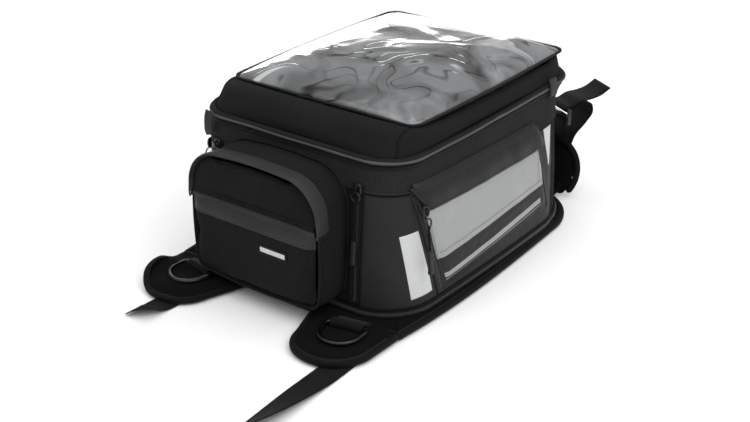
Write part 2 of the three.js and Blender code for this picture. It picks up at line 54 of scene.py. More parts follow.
# ---- The camera ----
AIM = Vector((0.0605, -0.1151, 0.091))
AZIMUTH, ELEVATION, DISTANCE = math.radians(37), math.radians(26.1), 1.429
flat_reach = math.cos(ELEVATION) * DISTANCE
eye = AIM + Vector((math.sin(AZIMUTH) * flat_reach, -math.cos(AZIMUTH) * flat_reach,
                    math.sin(ELEVATION) * DISTANCE))
lens = bpy.data.cameras.new("camera")
lens.lens, lens.sensor_width, lens.clip_end = 62.4, 36, 20
camera = bpy.data.objects.new("camera", lens)
scene.collection.objects.link(camera)
camera.location = eye
camera.rotation_euler = (AIM - eye).to_track_quat("-Z", "Y").to_euler()
scene.camera = camera
scene.view_settings.view_transform = "Standard"

# ---- Named sizes, in the frame of the CAD part: +X right, -Y front ----
BAG, LID, LEAF = "bag", "lid", "front_pocket_panel"
BOW = 0.035  # the share of its width by which the bag narrows at its ends
REAR_SLACK = 6.6  # how far the rear corners of the wall sink in below the rim
RIM_Z, FOOT_Z = 180.0, 17.0
BASE = dict(half_x=157, front=-203, rear=205, front_corner=6, rear_corner=84)
LID_BOTTOM, DOME_TOP = 182.2, 238.0
SHOULDER = dict(half_x=136, half_y=170, mid_y=6, corner=34, z=208)
WINDOW = dict(half_x=129, half_y=152, mid_y=19, corner=14, z=212)
POCKET = dict(mid_x=-10, half_x=87, bottom=24, top=168, front=-237, foot=14, shoulder=42, hinge=118)
FLAP = dict(inner=45, outer=156, hinge=-205, tip=-292)
REAR_FLAP = dict(inner=34, outer=124, hinge=208, length=68, lean=74, thick=6)
RING_AT, RING_TURN = (106, -224, 13.4), 10
STRAP_AT, STRAP_TURN = (95, 215), -30


# ---- Arithmetic ----
def lerp(a, b, t):
    return a + (b - a) * t


def ease(t):
    t = np.clip(t, 0, 1)
    return t * t * (3 - 2 * t)


def unit(v):
    return v / (np.linalg.norm(v, axis=-1, keepdims=True) + 1e-12)


def xyz(*parts):
    """Points from coordinates that are arrays or single numbers."""
    return np.stack(np.broadcast_arrays(*[np.asarray(p, float) for p in parts]), -1)


def lifted(loop, z):
    return xyz(loop[:, 0], loop[:, 1], z)


def upright(loop, y):
    """An x, z outline at a depth."""
    return xyz(loop[:, 0], y, loop[:, 1])


def run_along(path):
    """Distance from the start of a path to each of its points."""
    return np.concatenate([[0], np.cumsum(np.linalg.norm(np.diff(path, axis=0), axis=1))])


def same(points):
    return np.asarray(points)


def flip(points):
    return np.asarray(points) * (-1, 1, 1)


SIDES = (("right", 1, same), ("left", -1, flip))


def wall(z):
    """Half width, half length and corner radius of the bag's wall at a height."""
    t = (np.asarray(z, float) - FOOT_Z) / (RIM_Z - FOOT_Z)
    return lerp(152, 141, t), lerp(192, 180, t), lerp(58, 40, t)


def around(u, z, proud=0.0):
    """A point on the right half of the wall. u runs along it, 0 at mid side, - to the front."""
    u, z, proud = np.broadcast_arrays(*[np.asarray(a, float) for a in (u, z, proud)])
    half_x, half_y, corner = wall(z)
    a = np.abs(u)
    angle = np.clip((a - (half_y - corner)) / corner, 0, PI / 2)
    past = np.maximum(a - (half_y - corner) - corner * PI / 2, 0)
    x = half_x - corner + corner * np.cos(angle) - past
    y = np.minimum(a, half_y - corner) + corner * np.sin(angle)
    x = x * (1 - BOW * (y / half_y) ** 2)
    along = (u - half_y + corner) / (corner * PI / 2)
    slack = REAR_SLACK * ease((along + 0.4) / 0.7) * ease((1.8 - along) / 0.9) * ease((184 - z) / 24)
    return np.stack([x - slack + proud * np.cos(angle),
                     np.sign(u) * (y + proud * np.sin(angle)) - slack, z], -1)


def on(u, z, proud=0.0):
    """On the filled bag's cloth, which stands out from its pattern in slow waves."""
    t = np.clip((z - FOOT_Z) / (RIM_Z - FOOT_Z), 0, 1)
    waves = (0.5 * np.sin(u / 37 + z / 23 + 1) * np.sin(z / 31 - u / 71)
             + 0.28 * np.sin(u / 13 + 2 * np.sin(z / 29)) * np.sin(z / 17 + u / 41)
             + 0.12 * np.sin(u / 6.1 + z / 9))
    return around(u, z, np.sin(PI * t) ** 0.8 * (1.0 + waves) + proud)


def u_of_y(y, z=100.0):
    """u of a point on the bag's side, from its y."""
    _, half_y, corner = wall(z)
    inner, a = half_y - corner, np.abs(y)
    bent = inner + corner * np.arcsin(np.clip((a - inner) / corner, 0, 1))
    return np.sign(y) * np.where(a <= inner, a, bent)


def u_of_front(x, z=100.0):
    """u of a point on the bag's front, from its x."""
    half_x, half_y, corner = wall(z)
    flat = half_y - corner + corner * PI / 2 + (half_x - corner) - x
    bent = half_y - corner + corner * np.arccos(np.clip((x - (half_x - corner)) / corner, 0, 1))
    return -np.where(x <= half_x - corner, flat, bent)


def half_round(z):
    """u at the middle of the front or the rear."""
    half_x, half_y, corner = wall(z)
    return half_y - corner + corner * PI / 2 + half_x - corner


def corner_arc(cx, cy, radius, quarter, steps):
    """A quarter circle; quarter 0 runs from +x to +y."""
    a = (quarter + np.arange(steps + 1) / steps) * PI / 2
    return np.stack([cx + radius * np.cos(a), cy + radius * np.sin(a)], -1)


def rounded(half_x, half_y, corner, mid_y=0.0, arc=8, long=10, short=8, bow=0.0, mid_x=0.0):
    """A rounded rectangle from +X round by +Y, as an N x 2 array."""
    inner_x, inner_y = half_x - corner, half_y - corner
    centres = [(inner_x, inner_y), (-inner_x, inner_y), (-inner_x, -inner_y), (inner_x, -inner_y)]
    runs = []
    for q, centre in enumerate(centres):
        bend = corner_arc(*centre, corner, q, arc)
        ahead = np.add(centres[(q + 1) % 4], bend[-1]) - centre
        count = short if q % 2 == 0 else long
        runs += [bend, lerp(bend[-1], ahead, np.arange(1, count)[:, None] / count)]
    p = np.vstack(runs)
    p[:, 0] *= 1 - bow * (p[:, 1] / half_y) ** 2
    return p + (mid_x, mid_y)


def resample(path, step=None, count=None, closed=False):
    """Points at even spacing along a smooth curve through the path."""
    p = np.asarray(path, float)
    if closed:
        q = np.vstack([p[-1:], p, p[:2]])
    else:
        q = np.vstack([2 * p[0] - p[1], p, 2 * p[-1] - p[-2]])
    gap = np.linalg.norm(np.diff(q, axis=0), axis=1)[:, None] + 1e-9
    slope = np.diff(q, axis=0) / gap
    tangent = (slope[:-1] * gap[1:] + slope[1:] * gap[:-1]) / (gap[:-1] + gap[1:])
    t = np.linspace(0, 1, 12, endpoint=False)[:, None]
    dense = [(2 * t ** 3 - 3 * t ** 2 + 1) * q[i] + (3 * t ** 2 - 2 * t ** 3) * q[i + 1]
             + (t ** 3 - 2 * t ** 2 + t) * gap[i] * tangent[i - 1]
             + (t ** 3 - t ** 2) * gap[i] * tangent[i] for i in range(1, len(q) - 2)]
    dense = np.vstack(dense + [q[-2][None]])
    run = run_along(dense)
    n = count or max(2, int(round(run[-1] / step)) + 1)
    at = np.linspace(0, run[-1], n + 1)[:-1] if closed else np.linspace(0, run[-1], n)
    return np.stack([np.interp(at, run, dense[:, k]) for k in range(p.shape[1])], -1)


def spread(length, step, close=(0.0, 0.5, 1.2, 2.2, 3.2, 4.4)):
    """0..1 marks along a length, crowded at both ends."""
    ends = [c for c in close if c < length * 0.4]
    middle = np.linspace(ends[-1], length - ends[-1], max(3, int(length / step)))
    return np.array(ends[:-1] + list(middle) + [length - c for c in ends[:-1][::-1]]) / length


def edge_run(S, T, wide, tall):
    """Distance in from the nearest edge of a patch."""
    return np.minimum(np.minimum(S, 1 - S) * wide, np.minimum(T, 1 - T) * tall)


def opened(points):
    """A closed run of points, turned so that it starts after its widest gap."""
    gap = np.linalg.norm(np.roll(points, -1, 0) - points, axis=1)
    return np.roll(points, -int(np.argmax(gap)) - 1, 0)


def filled_in(loop, step=4.0):
    """A closed loop with points added along its straight sides."""
    after = np.roll(loop, -1, 0)
    run = np.linalg.norm(after - loop, axis=1)
    return np.vstack([lerp(a, b, np.linspace(0, 1, max(2, int(r / step)), endpoint=False)[:, None])
                      for a, b, r in zip(loop, after, run)])


def bezier(*points, steps=14):
    """A Bezier curve through any number of controls."""
    out = []
    for t in np.linspace(0, 1, steps):
        q = [np.array(p, float) for p in points]
        while len(q) > 1:
            q = [lerp(a, b, t) for a, b in zip(q[:-1], q[1:])]
        out.append(q[0])
    return out


def inset_loop(loop, amount):
    """A closed flat loop moved inwards by an amount."""
    ahead = unit(np.roll(loop, -1, 0) - np.roll(loop, 1, 0))
    area = np.sum(loop[:, 0] * np.roll(loop[:, 1], -1) - loop[:, 1] * np.roll(loop[:, 0], -1))
    return loop + np.stack([-ahead[:, 1], ahead[:, 0]], -1) * np.sign(area) * amount


def to_lines(points, line, closed=True, flat=False):
    """Distance of points to a polyline, seen from above if `flat`."""
    a = np.asarray(line, float)
    b = np.roll(a, -1, 0) if closed else a[1:]
    best = np.full(len(points), 1e9)
    for p, q in zip(a, b):
        d = q - p
        t = np.clip(((points - p) @ d) / (d @ d + 1e-9), 0, 1)
        miss = points - (p + t[:, None] * d)
        best = np.minimum(best, np.linalg.norm(miss[:, :2] if flat else miss, axis=1))
    return best


def moved(points, matrix):
    """Points carried by a 4 x 4 matrix."""
    m = np.array(matrix)
    return np.asarray(points) @ m[:3, :3].T + m[:3, 3]


def place(x=0, y=0, z=0, turn=0, tilt=0):
    """A tilt about X, then a turn about Z, both in degrees, then a move."""
    return (Matrix.Translation((x, y, z)) @ Matrix.Rotation(math.radians(turn), 4, "Z")
            @ Matrix.Rotation(math.radians(tilt), 4, "X"))


# ---- Meshes ----
def make(name, points, faces, material, body, uv=None, away=None, smooth=True):
    """A mesh object from points in mm. `away` is a point that open faces look away from."""
    points = np.asarray(points, float).reshape(-1, 3)
    mesh = bpy.data.meshes.new(name)
    mesh.from_pydata((points * MM).tolist(), [], [list(map(int, f)) for f in faces])
    if uv is not None:
        layer = mesh.uv_layers.new(name="UVMap")
        index = np.empty(len(mesh.loops), int)
        mesh.loops.foreach_get("vertex_index", index)
        layer.data.foreach_set("uv", (np.asarray(uv, float).reshape(-1, 2)[index] * MM).ravel())
    mesh.update()
    bm = bmesh.new()
    bm.from_mesh(mesh)
    if away is None:
        bmesh.ops.recalc_face_normals(bm, faces=bm.faces)
    else:
        hub = Vector(away) * MM
        if sum(f.normal.dot(f.calc_center_median() - hub) * f.calc_area() for f in bm.faces) < 0:
            bmesh.ops.reverse_faces(bm, faces=bm.faces)
    bm.to_mesh(mesh)
    bm.free()
    mesh.shade_smooth() if smooth else mesh.shade_flat()
    obj = bpy.data.objects.new(name, mesh)
    scene.collection.objects.link(obj)
    mesh.materials.append(MATERIALS[material])
    if body:
        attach(obj, body)
    return obj


def quads(rows, cols, wrap_rows=False, wrap_cols=False):
    """The faces of a grid of points, numbered row by row."""
    r = np.arange(rows if wrap_rows else rows - 1)[:, None]
    c = np.arange(cols if wrap_cols else cols - 1)[None, :]
    r2, c2 = (r + 1) % rows, (c + 1) % cols
    return np.stack([r * cols + c, r * cols + c2, r2 * cols + c2, r2 * cols + c], -1).reshape(-1, 4)


def surface(name, grid, material, body, away=(0, 0, 95), thick=0.0, wrap=False):
    """An open sheet from a rows x columns grid; `thick` adds the cloth's thickness inwards."""
    grid = np.asarray(grid)
    rows, cols = grid.shape[:2]
    du = np.linalg.norm(np.diff(grid, axis=1), axis=2).mean(0)
    dv = np.linalg.norm(np.diff(grid, axis=0), axis=2).mean(1)
    uv = np.stack(np.meshgrid(*(np.concatenate([[0], np.cumsum(d)]) for d in (du, dv))), -1)
    obj = make(name, grid, quads(rows, cols, wrap_cols=wrap), material, body, uv, away)
    if thick:
        solid = obj.modifiers.new("thickness", "SOLIDIFY")
        solid.thickness, solid.offset = thick * MM, -1
    return obj


def frames_along(path, closed=False, up=(0, 0, 1)):
    """Unit tangent, side and up vectors along a path."""
    ahead = np.roll(path, -1, 0) - np.roll(path, 1, 0) if closed else np.gradient(path, axis=0)
    ahead = unit(ahead)
    if up is None:
        side = np.zeros_like(path)
        seed = np.array([0, 0, 1.0]) if abs(ahead[0][2]) < 0.9 else np.array([1.0, 0, 0])
        last = np.cross(ahead[0], seed)
        for i, a in enumerate(ahead):
            last = unit(last - a * np.dot(last, a))
            side[i] = last
    else:
        side = unit(np.cross(ahead, np.broadcast_to(np.asarray(up, float), path.shape)))
    return ahead, side, np.cross(side, ahead)


def rings(layers, closed=False):
    """Points and faces that join equal rings; open ends get flat caps."""
    grid = np.asarray(layers, float)
    n, m = grid.shape[:2]
    faces = quads(n, m, wrap_rows=closed, wrap_cols=True).tolist()
    if not closed:
        faces += [list(range(m))[::-1], [(n - 1) * m + k for k in range(m)]]
    return grid.reshape(-1, 3), faces


def swept(path, section, closed=False, up=None, scale=1.0):
    """Points, faces and UVs of a closed section (side, up) carried along a path."""
    path, section = np.asarray(path, float), np.asarray(section, float)
    _, side, lift = frames_along(path, closed, up)
    size = np.broadcast_to(scale, len(path))[:, None, None]
    points, faces = rings(path[:, None] + side[:, None] * section[None, :, :1] * size
                          + lift[:, None] * section[None, :, 1:] * size, closed)
    return points, faces, np.stack(np.meshgrid(run_along(section), run_along(path)),
                                   -1).reshape(-1, 2)


def circle(radius, sides=8):
    a = np.arange(sides) * 2 * PI / sides
    return np.stack([radius * np.cos(a), radius * np.sin(a)], -1)


def tape_section(width, thick, crown=0.0, n=8):
    """A webbing section with soft edges."""
    w = np.concatenate([[-0.5], np.linspace(-0.47, 0.47, n), [0.5]])
    half = thick / 2 * np.where(np.abs(w) > 0.49, 0.2, 1)
    lift = crown * (1 - (2 * w) ** 2)
    return np.concatenate([np.stack([w * width, half + lift], -1),
                           np.stack([w * width, lift - half], -1)[::-1]])


def sweep(name, path, section, material, body, closed=False, up=None, scale=1.0):
    """A section carried along a path."""
    points, faces, uv = swept(path, section, closed, up, scale)
    return make(name, points, faces, material, body, uv)


def bundle(name, parts, material, body, side=same, smooth=True):
    """Many small closed shapes as one piece."""
    points, faces, base = [], [], 0
    for p, f, *_ in parts:
        points.append(side(p))
        faces += [[i + base for i in face] for face in f]
        base += len(p)
    return make(name, np.vstack(points), faces, material, body, np.zeros((base, 2)),
                smooth=smooth)


def pillow(loop, profile):
    """Rings of a flat loop, one for each (inset, height) of the profile, capped."""
    centre = loop.mean(0)
    layers = []
    for inset, z in profile:
        flat = inset_loop(loop, min(inset, 9))
        layers.append(lifted(centre + (flat - centre) * (1 - max(inset - 9, 0) / 150), z))
    return rings(layers)


def stitches(path, outward, pitch=3.4, length=2.3, radius=0.34):
    """Raised thread lengths along a path that lies on a surface."""
    path = resample(path, step=pitch)
    outward = np.broadcast_to(np.asarray(outward, float), path.shape)
    parts = []
    for p, a, o in zip(path, unit(np.gradient(path, axis=0)), outward):
        s = unit(np.cross(a, o))
        parts.append(rings([[p + a * length * t + o * radius * (0.5 * r - 0.3)
                             + (s * math.cos(k) + o * math.sin(k)) * radius * r
                             for k in (0, PI / 2, PI, 3 * PI / 2)]
                            for t, r in ((-0.5, 0.45), (-0.25, 1), (0.25, 1), (0.5, 0.45))]))
    return parts


def zip_teeth(path, outward, pitch=2.6, width=4.4, tooth=1.5, high=1.2):
    """Two rows of moulded teeth that mesh along a path."""
    path = resample(path, step=pitch / 2)
    out = np.asarray(outward, float)
    out = np.broadcast_to(out, path.shape) if out.ndim < 2 else resample(out, count=len(path))
    half, parts = tooth * 0.42, []
    for i, (p, a, o) in enumerate(zip(path, unit(np.gradient(path, axis=0)), out)):
        s = unit(np.cross(a, o)) * (1 if i % 2 else -1) * width
        parts.append(rings([[p + o * h + s * (0.19 + x * k) + a * half * k * e
                             for x, e in ((-0.31, -1), (0.31, -1), (0.31, 1), (-0.31, 1))]
                            for h, k in ((0, 1.0), (0.7 * high, 1.0), (high, 0.55))]))
    return parts


# ---- Materials ----
class Net:
    """Short forms for wiring shader nodes."""

    def __init__(self, tree):
        self.tree = tree

    def add(self, kind, inputs=None, **attributes):
        node = self.tree.nodes.new(kind)
        for key, value in attributes.items():
            setattr(node, key, value)
        for key, value in (inputs or {}).items():
            if isinstance(value, bpy.types.NodeSocket):
                self.tree.links.new(value, node.inputs[key])
            else:
                node.inputs[key].default_value = value
        return node

    def math(self, operation, a, b=0.0, c=0.0):
        return self.add("ShaderNodeMath", {0: a, 1: b, 2: c}, operation=operation).outputs[0]

    def times(self, a, b):
        return self.math("MULTIPLY", a, b)

    def plus(self, value, amount, total):
        """value * amount + total."""
        return self.math("MULTIPLY_ADD", value, amount, total)

    def vary(self, total, noise, amount, centre=0.5):
        """A total moved up and down by a noise that lies around a centre."""
        return self.plus(self.math("SUBTRACT", noise, centre), amount, total)

    def span(self, value, low, high, to_low=0.0, to_high=1.0):
        return self.add("ShaderNodeMapRange", {0: value, 1: low, 2: high, 3: to_low,
                                               4: to_high}).outputs[0]

    def noise(self, vector, scale, detail=2.0, roughness=0.5, distortion=0.0):
        return self.add("ShaderNodeTexNoise", {"Vector": vector, "Scale": scale,
                        "Detail": detail, "Roughness": roughness,
                        "Distortion": distortion}).outputs[0]

    def vector(self, operation, inputs):
        return self.add("ShaderNodeVectorMath", inputs, operation=operation).outputs[0]

    def parts(self, vector):
        return self.add("ShaderNodeSeparateXYZ", {0: vector}).outputs

    def worn(self):
        """1 on sharp outer edges, where cloth and plastic rub."""
        edge = self.add("ShaderNodeNewGeometry").outputs["Pointiness"]
        return self.span(edge, 0.53, 0.62)


def facing_group():
    """Plain weave and rip-stop heights on whichever plane the cloth faces."""
    tree = bpy.data.node_groups.new("woven", "ShaderNodeTree")
    for way, labels in (("INPUT", ("Pitch", "Grid")), ("OUTPUT", ("Weave", "Lines"))):
        for label in labels:
            tree.interface.new_socket(label, in_out=way, socket_type="NodeSocketFloat")
    net = Net(tree)
    given = net.add("NodeGroupInput").outputs
    coords = net.add("ShaderNodeTexCoord").outputs
    facing = net.parts(net.vector("ABSOLUTE", {0: coords["Normal"]}))
    weight = [net.math("POWER", f, 5.0) for f in facing]
    total = net.math("ADD", net.math("ADD", weight[0], weight[1]), weight[2])

    def wave(operation, axis, pitch):
        return net.math(operation, net.times(axis, net.math("DIVIDE", PI, given[pitch])))

    def over_and_under(a, b):
        up, over = net.math("ABSOLUTE", a), net.math("ABSOLUTE", b)
        odd = net.math("GREATER_THAN", net.times(a, b), 0.0)
        ply = net.math("ADD", net.times(odd, up), net.times(net.math("SUBTRACT", 1.0, odd), over))
        return net.plus(ply, 0.55, net.times(net.times(up, over), 0.45))

    def grid_lines(a, b):
        return net.math("MAXIMUM", a, b)

    axes = list(net.parts(coords["Object"]))
    waves = [wave("SINE", axis, "Pitch") for axis in axes]
    lines = [net.math("POWER", net.math("ABSOLUTE", wave("COSINE", axis, "Grid")), 14.0)
             for axis in axes]
    ends = net.add("NodeGroupOutput")
    for label, heights, combine in (("Weave", waves, over_and_under), ("Lines", lines, grid_lines)):
        result = 0.0
        for k in range(3):
            one = combine(heights[(k + 1) % 3], heights[(k + 2) % 3])
            result = net.plus(one, weight[k], result)
        tree.links.new(net.math("DIVIDE", result, total), ends.inputs[label])
    return tree


WOVEN = facing_group()
MATERIALS, SLOTS = {}, {}


def blank(name, slot):
    """A new principled material, and what its other nodes are built with."""
    material = bpy.data.materials.new(name)
    material.use_nodes = True
    net = Net(material.node_tree)
    shader = next(n for n in net.tree.nodes if n.type == "BSDF_PRINCIPLED")
    MATERIALS[name], SLOTS[name] = material, slot
    return net, shader, net.add("ShaderNodeTexCoord").outputs


def finish(net, shader, colour, factor, rough, height, depth, sheen=0.0, metal=0.0, coat=0.0,
           puckers=None, pucker_depth=0.0, shine=0.5, coat_rough=0.25):
    """Colour, roughness and bump into a principled shader; single values go on its sockets."""
    tinted = net.vector("SCALE", {0: colour, "Scale": factor})
    net.tree.links.new(tinted, shader.inputs["Base Color"])
    net.tree.links.new(rough, shader.inputs["Roughness"])
    bump = net.add("ShaderNodeBump", {"Height": height, "Strength": 1.0, "Distance": depth})
    if puckers is not None:
        under = net.add("ShaderNodeBump", {"Height": puckers, "Strength": 1.0,
                                           "Distance": pucker_depth})
        net.tree.links.new(under.outputs[0], bump.inputs["Normal"])
    net.tree.links.new(bump.outputs[0], shader.inputs["Normal"])
    for socket, value in (("Metallic", metal), ("Specular IOR Level", shine),
                          ("Sheen Weight", sheen), ("Sheen Roughness", 0.45),
                          ("Coat Weight", coat), ("Coat Roughness", coat_rough)):
        shader.inputs[socket].default_value = value


def cloth(name, slot, colour, pitch=1.15, grid=0.0, rough=0.82, weave=0.5, speckle=0.35,
          mottle=0.35, sheen=0.012, depth=0.00035, pucker=0.0011, lines=0.25, shine=0.05):
    """Woven fabric; pitch is one thread and grid one square of its rip-stop, in mm."""
    net, shader, coords = blank(name, slot)
    where = coords["Object"]
    woven = net.add("ShaderNodeGroup", node_tree=WOVEN)
    woven.inputs["Pitch"].default_value = pitch * MM
    woven.inputs["Grid"].default_value = (grid or 50) * MM
    height = woven.outputs["Weave"]
    middle = net.noise(where, 85, 3, 0.6)
    thread = net.noise(where, 1000, 2, 0.7)
    factor = net.vary(1.0, net.noise(where, 16, 3), 2 * mottle)
    factor = net.vary(factor, thread, 2 * speckle)
    factor = net.vary(factor, height, weave, centre=0.45)
    if grid:
        factor = net.plus(woven.outputs["Lines"], lines, factor)
        height = net.plus(woven.outputs["Lines"], 0.7, height)
    wear = net.worn()
    factor = net.plus(wear, 0.7, factor)
    roughness = net.vary(rough, middle, 0.22)
    roughness = net.math("SUBTRACT", roughness, net.times(wear, 0.1))
    puckers = net.plus(middle, 0.6, net.noise(where, 38, 2, 0.5, 0.6))
    finish(net, shader, colour, factor, roughness, net.plus(thread, 0.5, height), depth, sheen,
           puckers=puckers, pucker_depth=pucker, shine=shine)


def coated(name, slot, colour, rough=0.45, mottle=0.2, grain=0.00006, pucker=0.0014, metal=0.0,
           beads=0.0, coat=0.0, sheen=0.0, shine=0.16):
    """Smooth laminated fabric, with a fine grain, scuffs and, if asked, reflective beads."""
    net, shader, coords = blank(name, slot)
    where = coords["Object"]
    middle = net.noise(where, 60, 3, 0.55)
    fine = net.noise(where, 1500, 2, 0.6)
    factor = net.vary(1.0, net.noise(where, 13, 3), 2 * mottle)
    factor = net.vary(factor, fine, 0.2)
    scuff = net.span(net.noise(where, 210, 5, 0.75, 1.6), 0.66, 0.74)
    factor = net.plus(scuff, 0.14, factor)
    if beads:
        cells = net.add("ShaderNodeTexVoronoi", {"Vector": where, "Scale": 1 / (beads * MM)})
        factor = net.plus(cells.outputs[0], -0.22, net.math("ADD", factor, 0.08))
    factor = net.plus(net.worn(), 0.35, factor)
    roughness = net.plus(scuff, 0.12, net.vary(rough, middle, 0.25))
    puckers = net.plus(middle, 0.35, net.noise(where, 26, 2, 0.5, 0.8))
    finish(net, shader, colour, factor, roughness, fine, grain, sheen, metal, coat, puckers,
           pucker, shine)


def webbing_cloth(name, slot, colour, across=2.2, along=1.5, rough=0.75, depth=0.0004,
                  sheen=0.03, speckle=0.3, shine=0.2):
    """Herringbone ribs that follow the tape; their pitch across and along it is in mm."""
    net, shader, coords = blank(name, slot)
    where = coords["Object"]
    u, v, _ = net.parts(coords["UV"])
    column = net.math("DIVIDE", u, across * MM)
    zig = net.math("ABSOLUTE", net.math("SUBTRACT", net.math("FRACT", net.times(column, 0.5)), 0.5))
    slant = net.math("ADD", net.math("DIVIDE", v, along * MM), net.times(zig, 3.0))
    rib = net.math("SINE", net.times(slant, 2 * PI))
    groove = net.math("ABSOLUTE", net.math("SINE", net.times(column, PI)))
    height = net.times(net.plus(rib, 0.35, 0.65), net.math("POWER", groove, 0.4))
    broad = net.noise(where, 30, 3)
    factor = net.vary(1.0, height, 0.55)
    factor = net.vary(factor, net.noise(where, 1100, 2, 0.7), 2 * speckle)
    factor = net.vary(factor, broad, 0.5)
    factor = net.plus(net.worn(), 0.6, factor)
    finish(net, shader, colour, factor, net.vary(rough, broad, 0.2), height, depth, sheen,
           shine=shine)


def moulded(name, slot, colour, rough=0.4, metal=0.0, grain=0.00004, scratches=0.25, coat=0.0,
            fine_scale=900, edge=0.9):
    """Plastic or metal: fine texture, hairline scratches and rubbed edges."""
    net, shader, coords = blank(name, slot)
    where = coords["Object"]
    fine = net.noise(where, fine_scale, 3, 0.6)
    broad = net.noise(where, 45, 3)
    streak = net.add("ShaderNodeMapping", {"Vector": where, "Scale": (900, 60, 240),
                                           "Rotation": (0.4, 0.7, 0.3)}).outputs[0]
    hair = net.span(net.noise(streak, 1.0, 2, 0.5), 0.63, 0.7)
    factor = net.plus(hair, scratches, net.vary(1.0, broad, 0.4))
    factor = net.plus(net.worn(), edge, factor)
    roughness = net.plus(hair, 0.12, net.vary(rough, broad, 0.2))
    finish(net, shader, colour, factor, roughness, fine, grain, 0.0, metal, coat)


def clear_film(name, slot):
    """Thick clear PVC, creased from being folded, over a dark map pocket; dark lines along the creases
    are painted shade and the bright streaks beside them are painted highlights.
    """
    net, shader, coords = blank(name, slot)
    where = coords["Object"]
    warp = net.add("ShaderNodeTexNoise", {"Vector": where, "Scale": 8.0, "Detail": 2.0}).outputs[1]
    bent = net.vector("ADD", {0: where, 1: net.vector("SCALE", {0: warp, "Scale": 0.13})})
    swell = net.noise(bent, 11, 1, 0.4, 0.6)
    level = net.times(net.noise(bent, 11, 1, 0.5, 1.2), 19.0)
    zone = net.span(net.noise(where, 8, 1), 0.38, 0.6, 0.15, 1.0)
    ridge = net.math("ABSOLUTE", net.math("SINE", level))
    # Dark lines along the creases: painted shade in the colour; the same lines also sink the bump a
    # little.
    line = net.times(net.span(ridge, 0.02, 0.28, 1.0, 0.0), zone)
    # Bright streaks beside the creases: painted highlights that stand in for reflections, only where
    # the zone noise is high.
    painted_flash = net.span(net.math("SINE", net.math("ADD", level, 0.9)), 0.86, 1.0)
    painted_glint = net.times(painted_flash, net.span(zone, 0.6, 1.0))
    tone = net.noise(bent, 16, 2, 0.5, 1.0)
    factor = net.vary(1.0, tone, 2.9)
    # The colour takes the painted shade lines darker and the painted highlight streaks brighter.
    factor = net.plus(line, -1.2, factor)
    factor = net.plus(painted_glint, 2.4, factor)
    height = net.plus(line, -0.04, net.plus(net.noise(where, 600, 2), 0.003, swell))
    finish(net, shader, (0.14, 0.143, 0.147), factor, net.plus(tone, 0.12, 0.05), height, 0.008,
           coat=0.38, coat_rough=0.05)
    shader.inputs["IOR"].default_value = 1.5


cloth("cordura", "cordura", (0.0115, 0.0117, 0.0122), weave=0.9, lines=0.0)
cloth("pocket_cloth", "cordura", (0.0085, 0.0087, 0.0091), pitch=1.3, grid=3.4, weave=0.9,
      lines=0.8)
cloth("grid_cloth", "cordura", (0.0165, 0.0167, 0.0173), pitch=1.3, grid=3.1, weave=0.9,
      lines=0.7)
cloth("flap_cloth", "cordura", (0.0044, 0.0046, 0.005), pitch=1.0, weave=0.9, speckle=0.25,
      shine=0.025)
cloth("lining", "cordura", (0.04, 0.042, 0.045), pitch=0.7, rough=0.6, speckle=0.15)
coated("coated", "coated_fabric", (0.0165, 0.0168, 0.0178), rough=0.47)
coated("trim", "trim_tape", (0.027, 0.0275, 0.0285), rough=0.5, pucker=0.0006)
coated("piping", "trim_tape", (0.06, 0.061, 0.063), rough=0.4, pucker=0.0004)
coated("silver", "reflective_fabric", (0.34, 0.344, 0.348), rough=0.42, mottle=0.1, metal=0.25,
       beads=1.1, pucker=0.0008)
coated("print", "reflective_fabric", (0.60, 0.605, 0.61), rough=0.5, mottle=0.05, metal=0.1,
       beads=0.9, pucker=0.0005)
webbing_cloth("webbing", "webbing", (0.0042, 0.0043, 0.0047), shine=0.12)
webbing_cloth("binding", "webbing", (0.0035, 0.0036, 0.004), shine=0.1, across=40, along=1.1,
              depth=0.00025)
webbing_cloth("zip_tape", "zip_plastic", (0.006, 0.0062, 0.0066), across=1.4, along=0.9)
moulded("thread", "webbing", (0.022, 0.0225, 0.0235), 0.7, fine_scale=2500, grain=0.0001)
moulded("teeth", "zip_plastic", (0.014, 0.014, 0.015), 0.3, coat=0.3)
moulded("slider", "zip_plastic", (0.006, 0.006, 0.0063), 0.3, metal=0.3)
moulded("puller", "puller_plastic", (0.003, 0.0031, 0.0033), 0.55, grain=0.0001)
moulded("buckle", "buckle_plastic", (0.009, 0.0092, 0.0098), 0.34, grain=0.00008)
moulded("steel", "steel_wire", (0.036, 0.036, 0.039), 0.36, metal=1.0, grain=0.00002)
moulded("board_face", "board", (0.06, 0.06, 0.06), 0.6, fine_scale=400)
moulded("grip_rubber", "grip_rubber", (0.012, 0.012, 0.0125), 0.8, fine_scale=320, grain=0.0006)
clear_film("pvc", "clear_pvc")


# ---- Padded pieces ----
SIM_FRAMES = 20
PADS = []


def bake(obj):
    """Puts what the modifiers make into the mesh."""
    graph = bpy.context.evaluated_depsgraph_get()
    mesh = bpy.data.meshes.new_from_object(obj.evaluated_get(graph), depsgraph=graph)
    old = obj.data
    obj.modifiers.clear()
    obj.data = mesh
    mesh.name = old.name + "_pad"
    bpy.data.meshes.remove(old)
    mesh.shade_smooth()


def from_vertices(mesh, what):
    """One vector of each vertex, such as its place or its normal."""
    flat = np.empty(len(mesh.vertices) * 3)
    mesh.vertices.foreach_get(what, flat)
    return flat.reshape(-1, 3)


def spots(mesh):
    """Vertex places in mm."""
    return from_vertices(mesh, "co") / MM


def set_spots(obj, points):
    """Put the vertices of a piece at places in mm."""
    obj.data.vertices.foreach_set("co", (points * MM).ravel())
    obj.data.update()


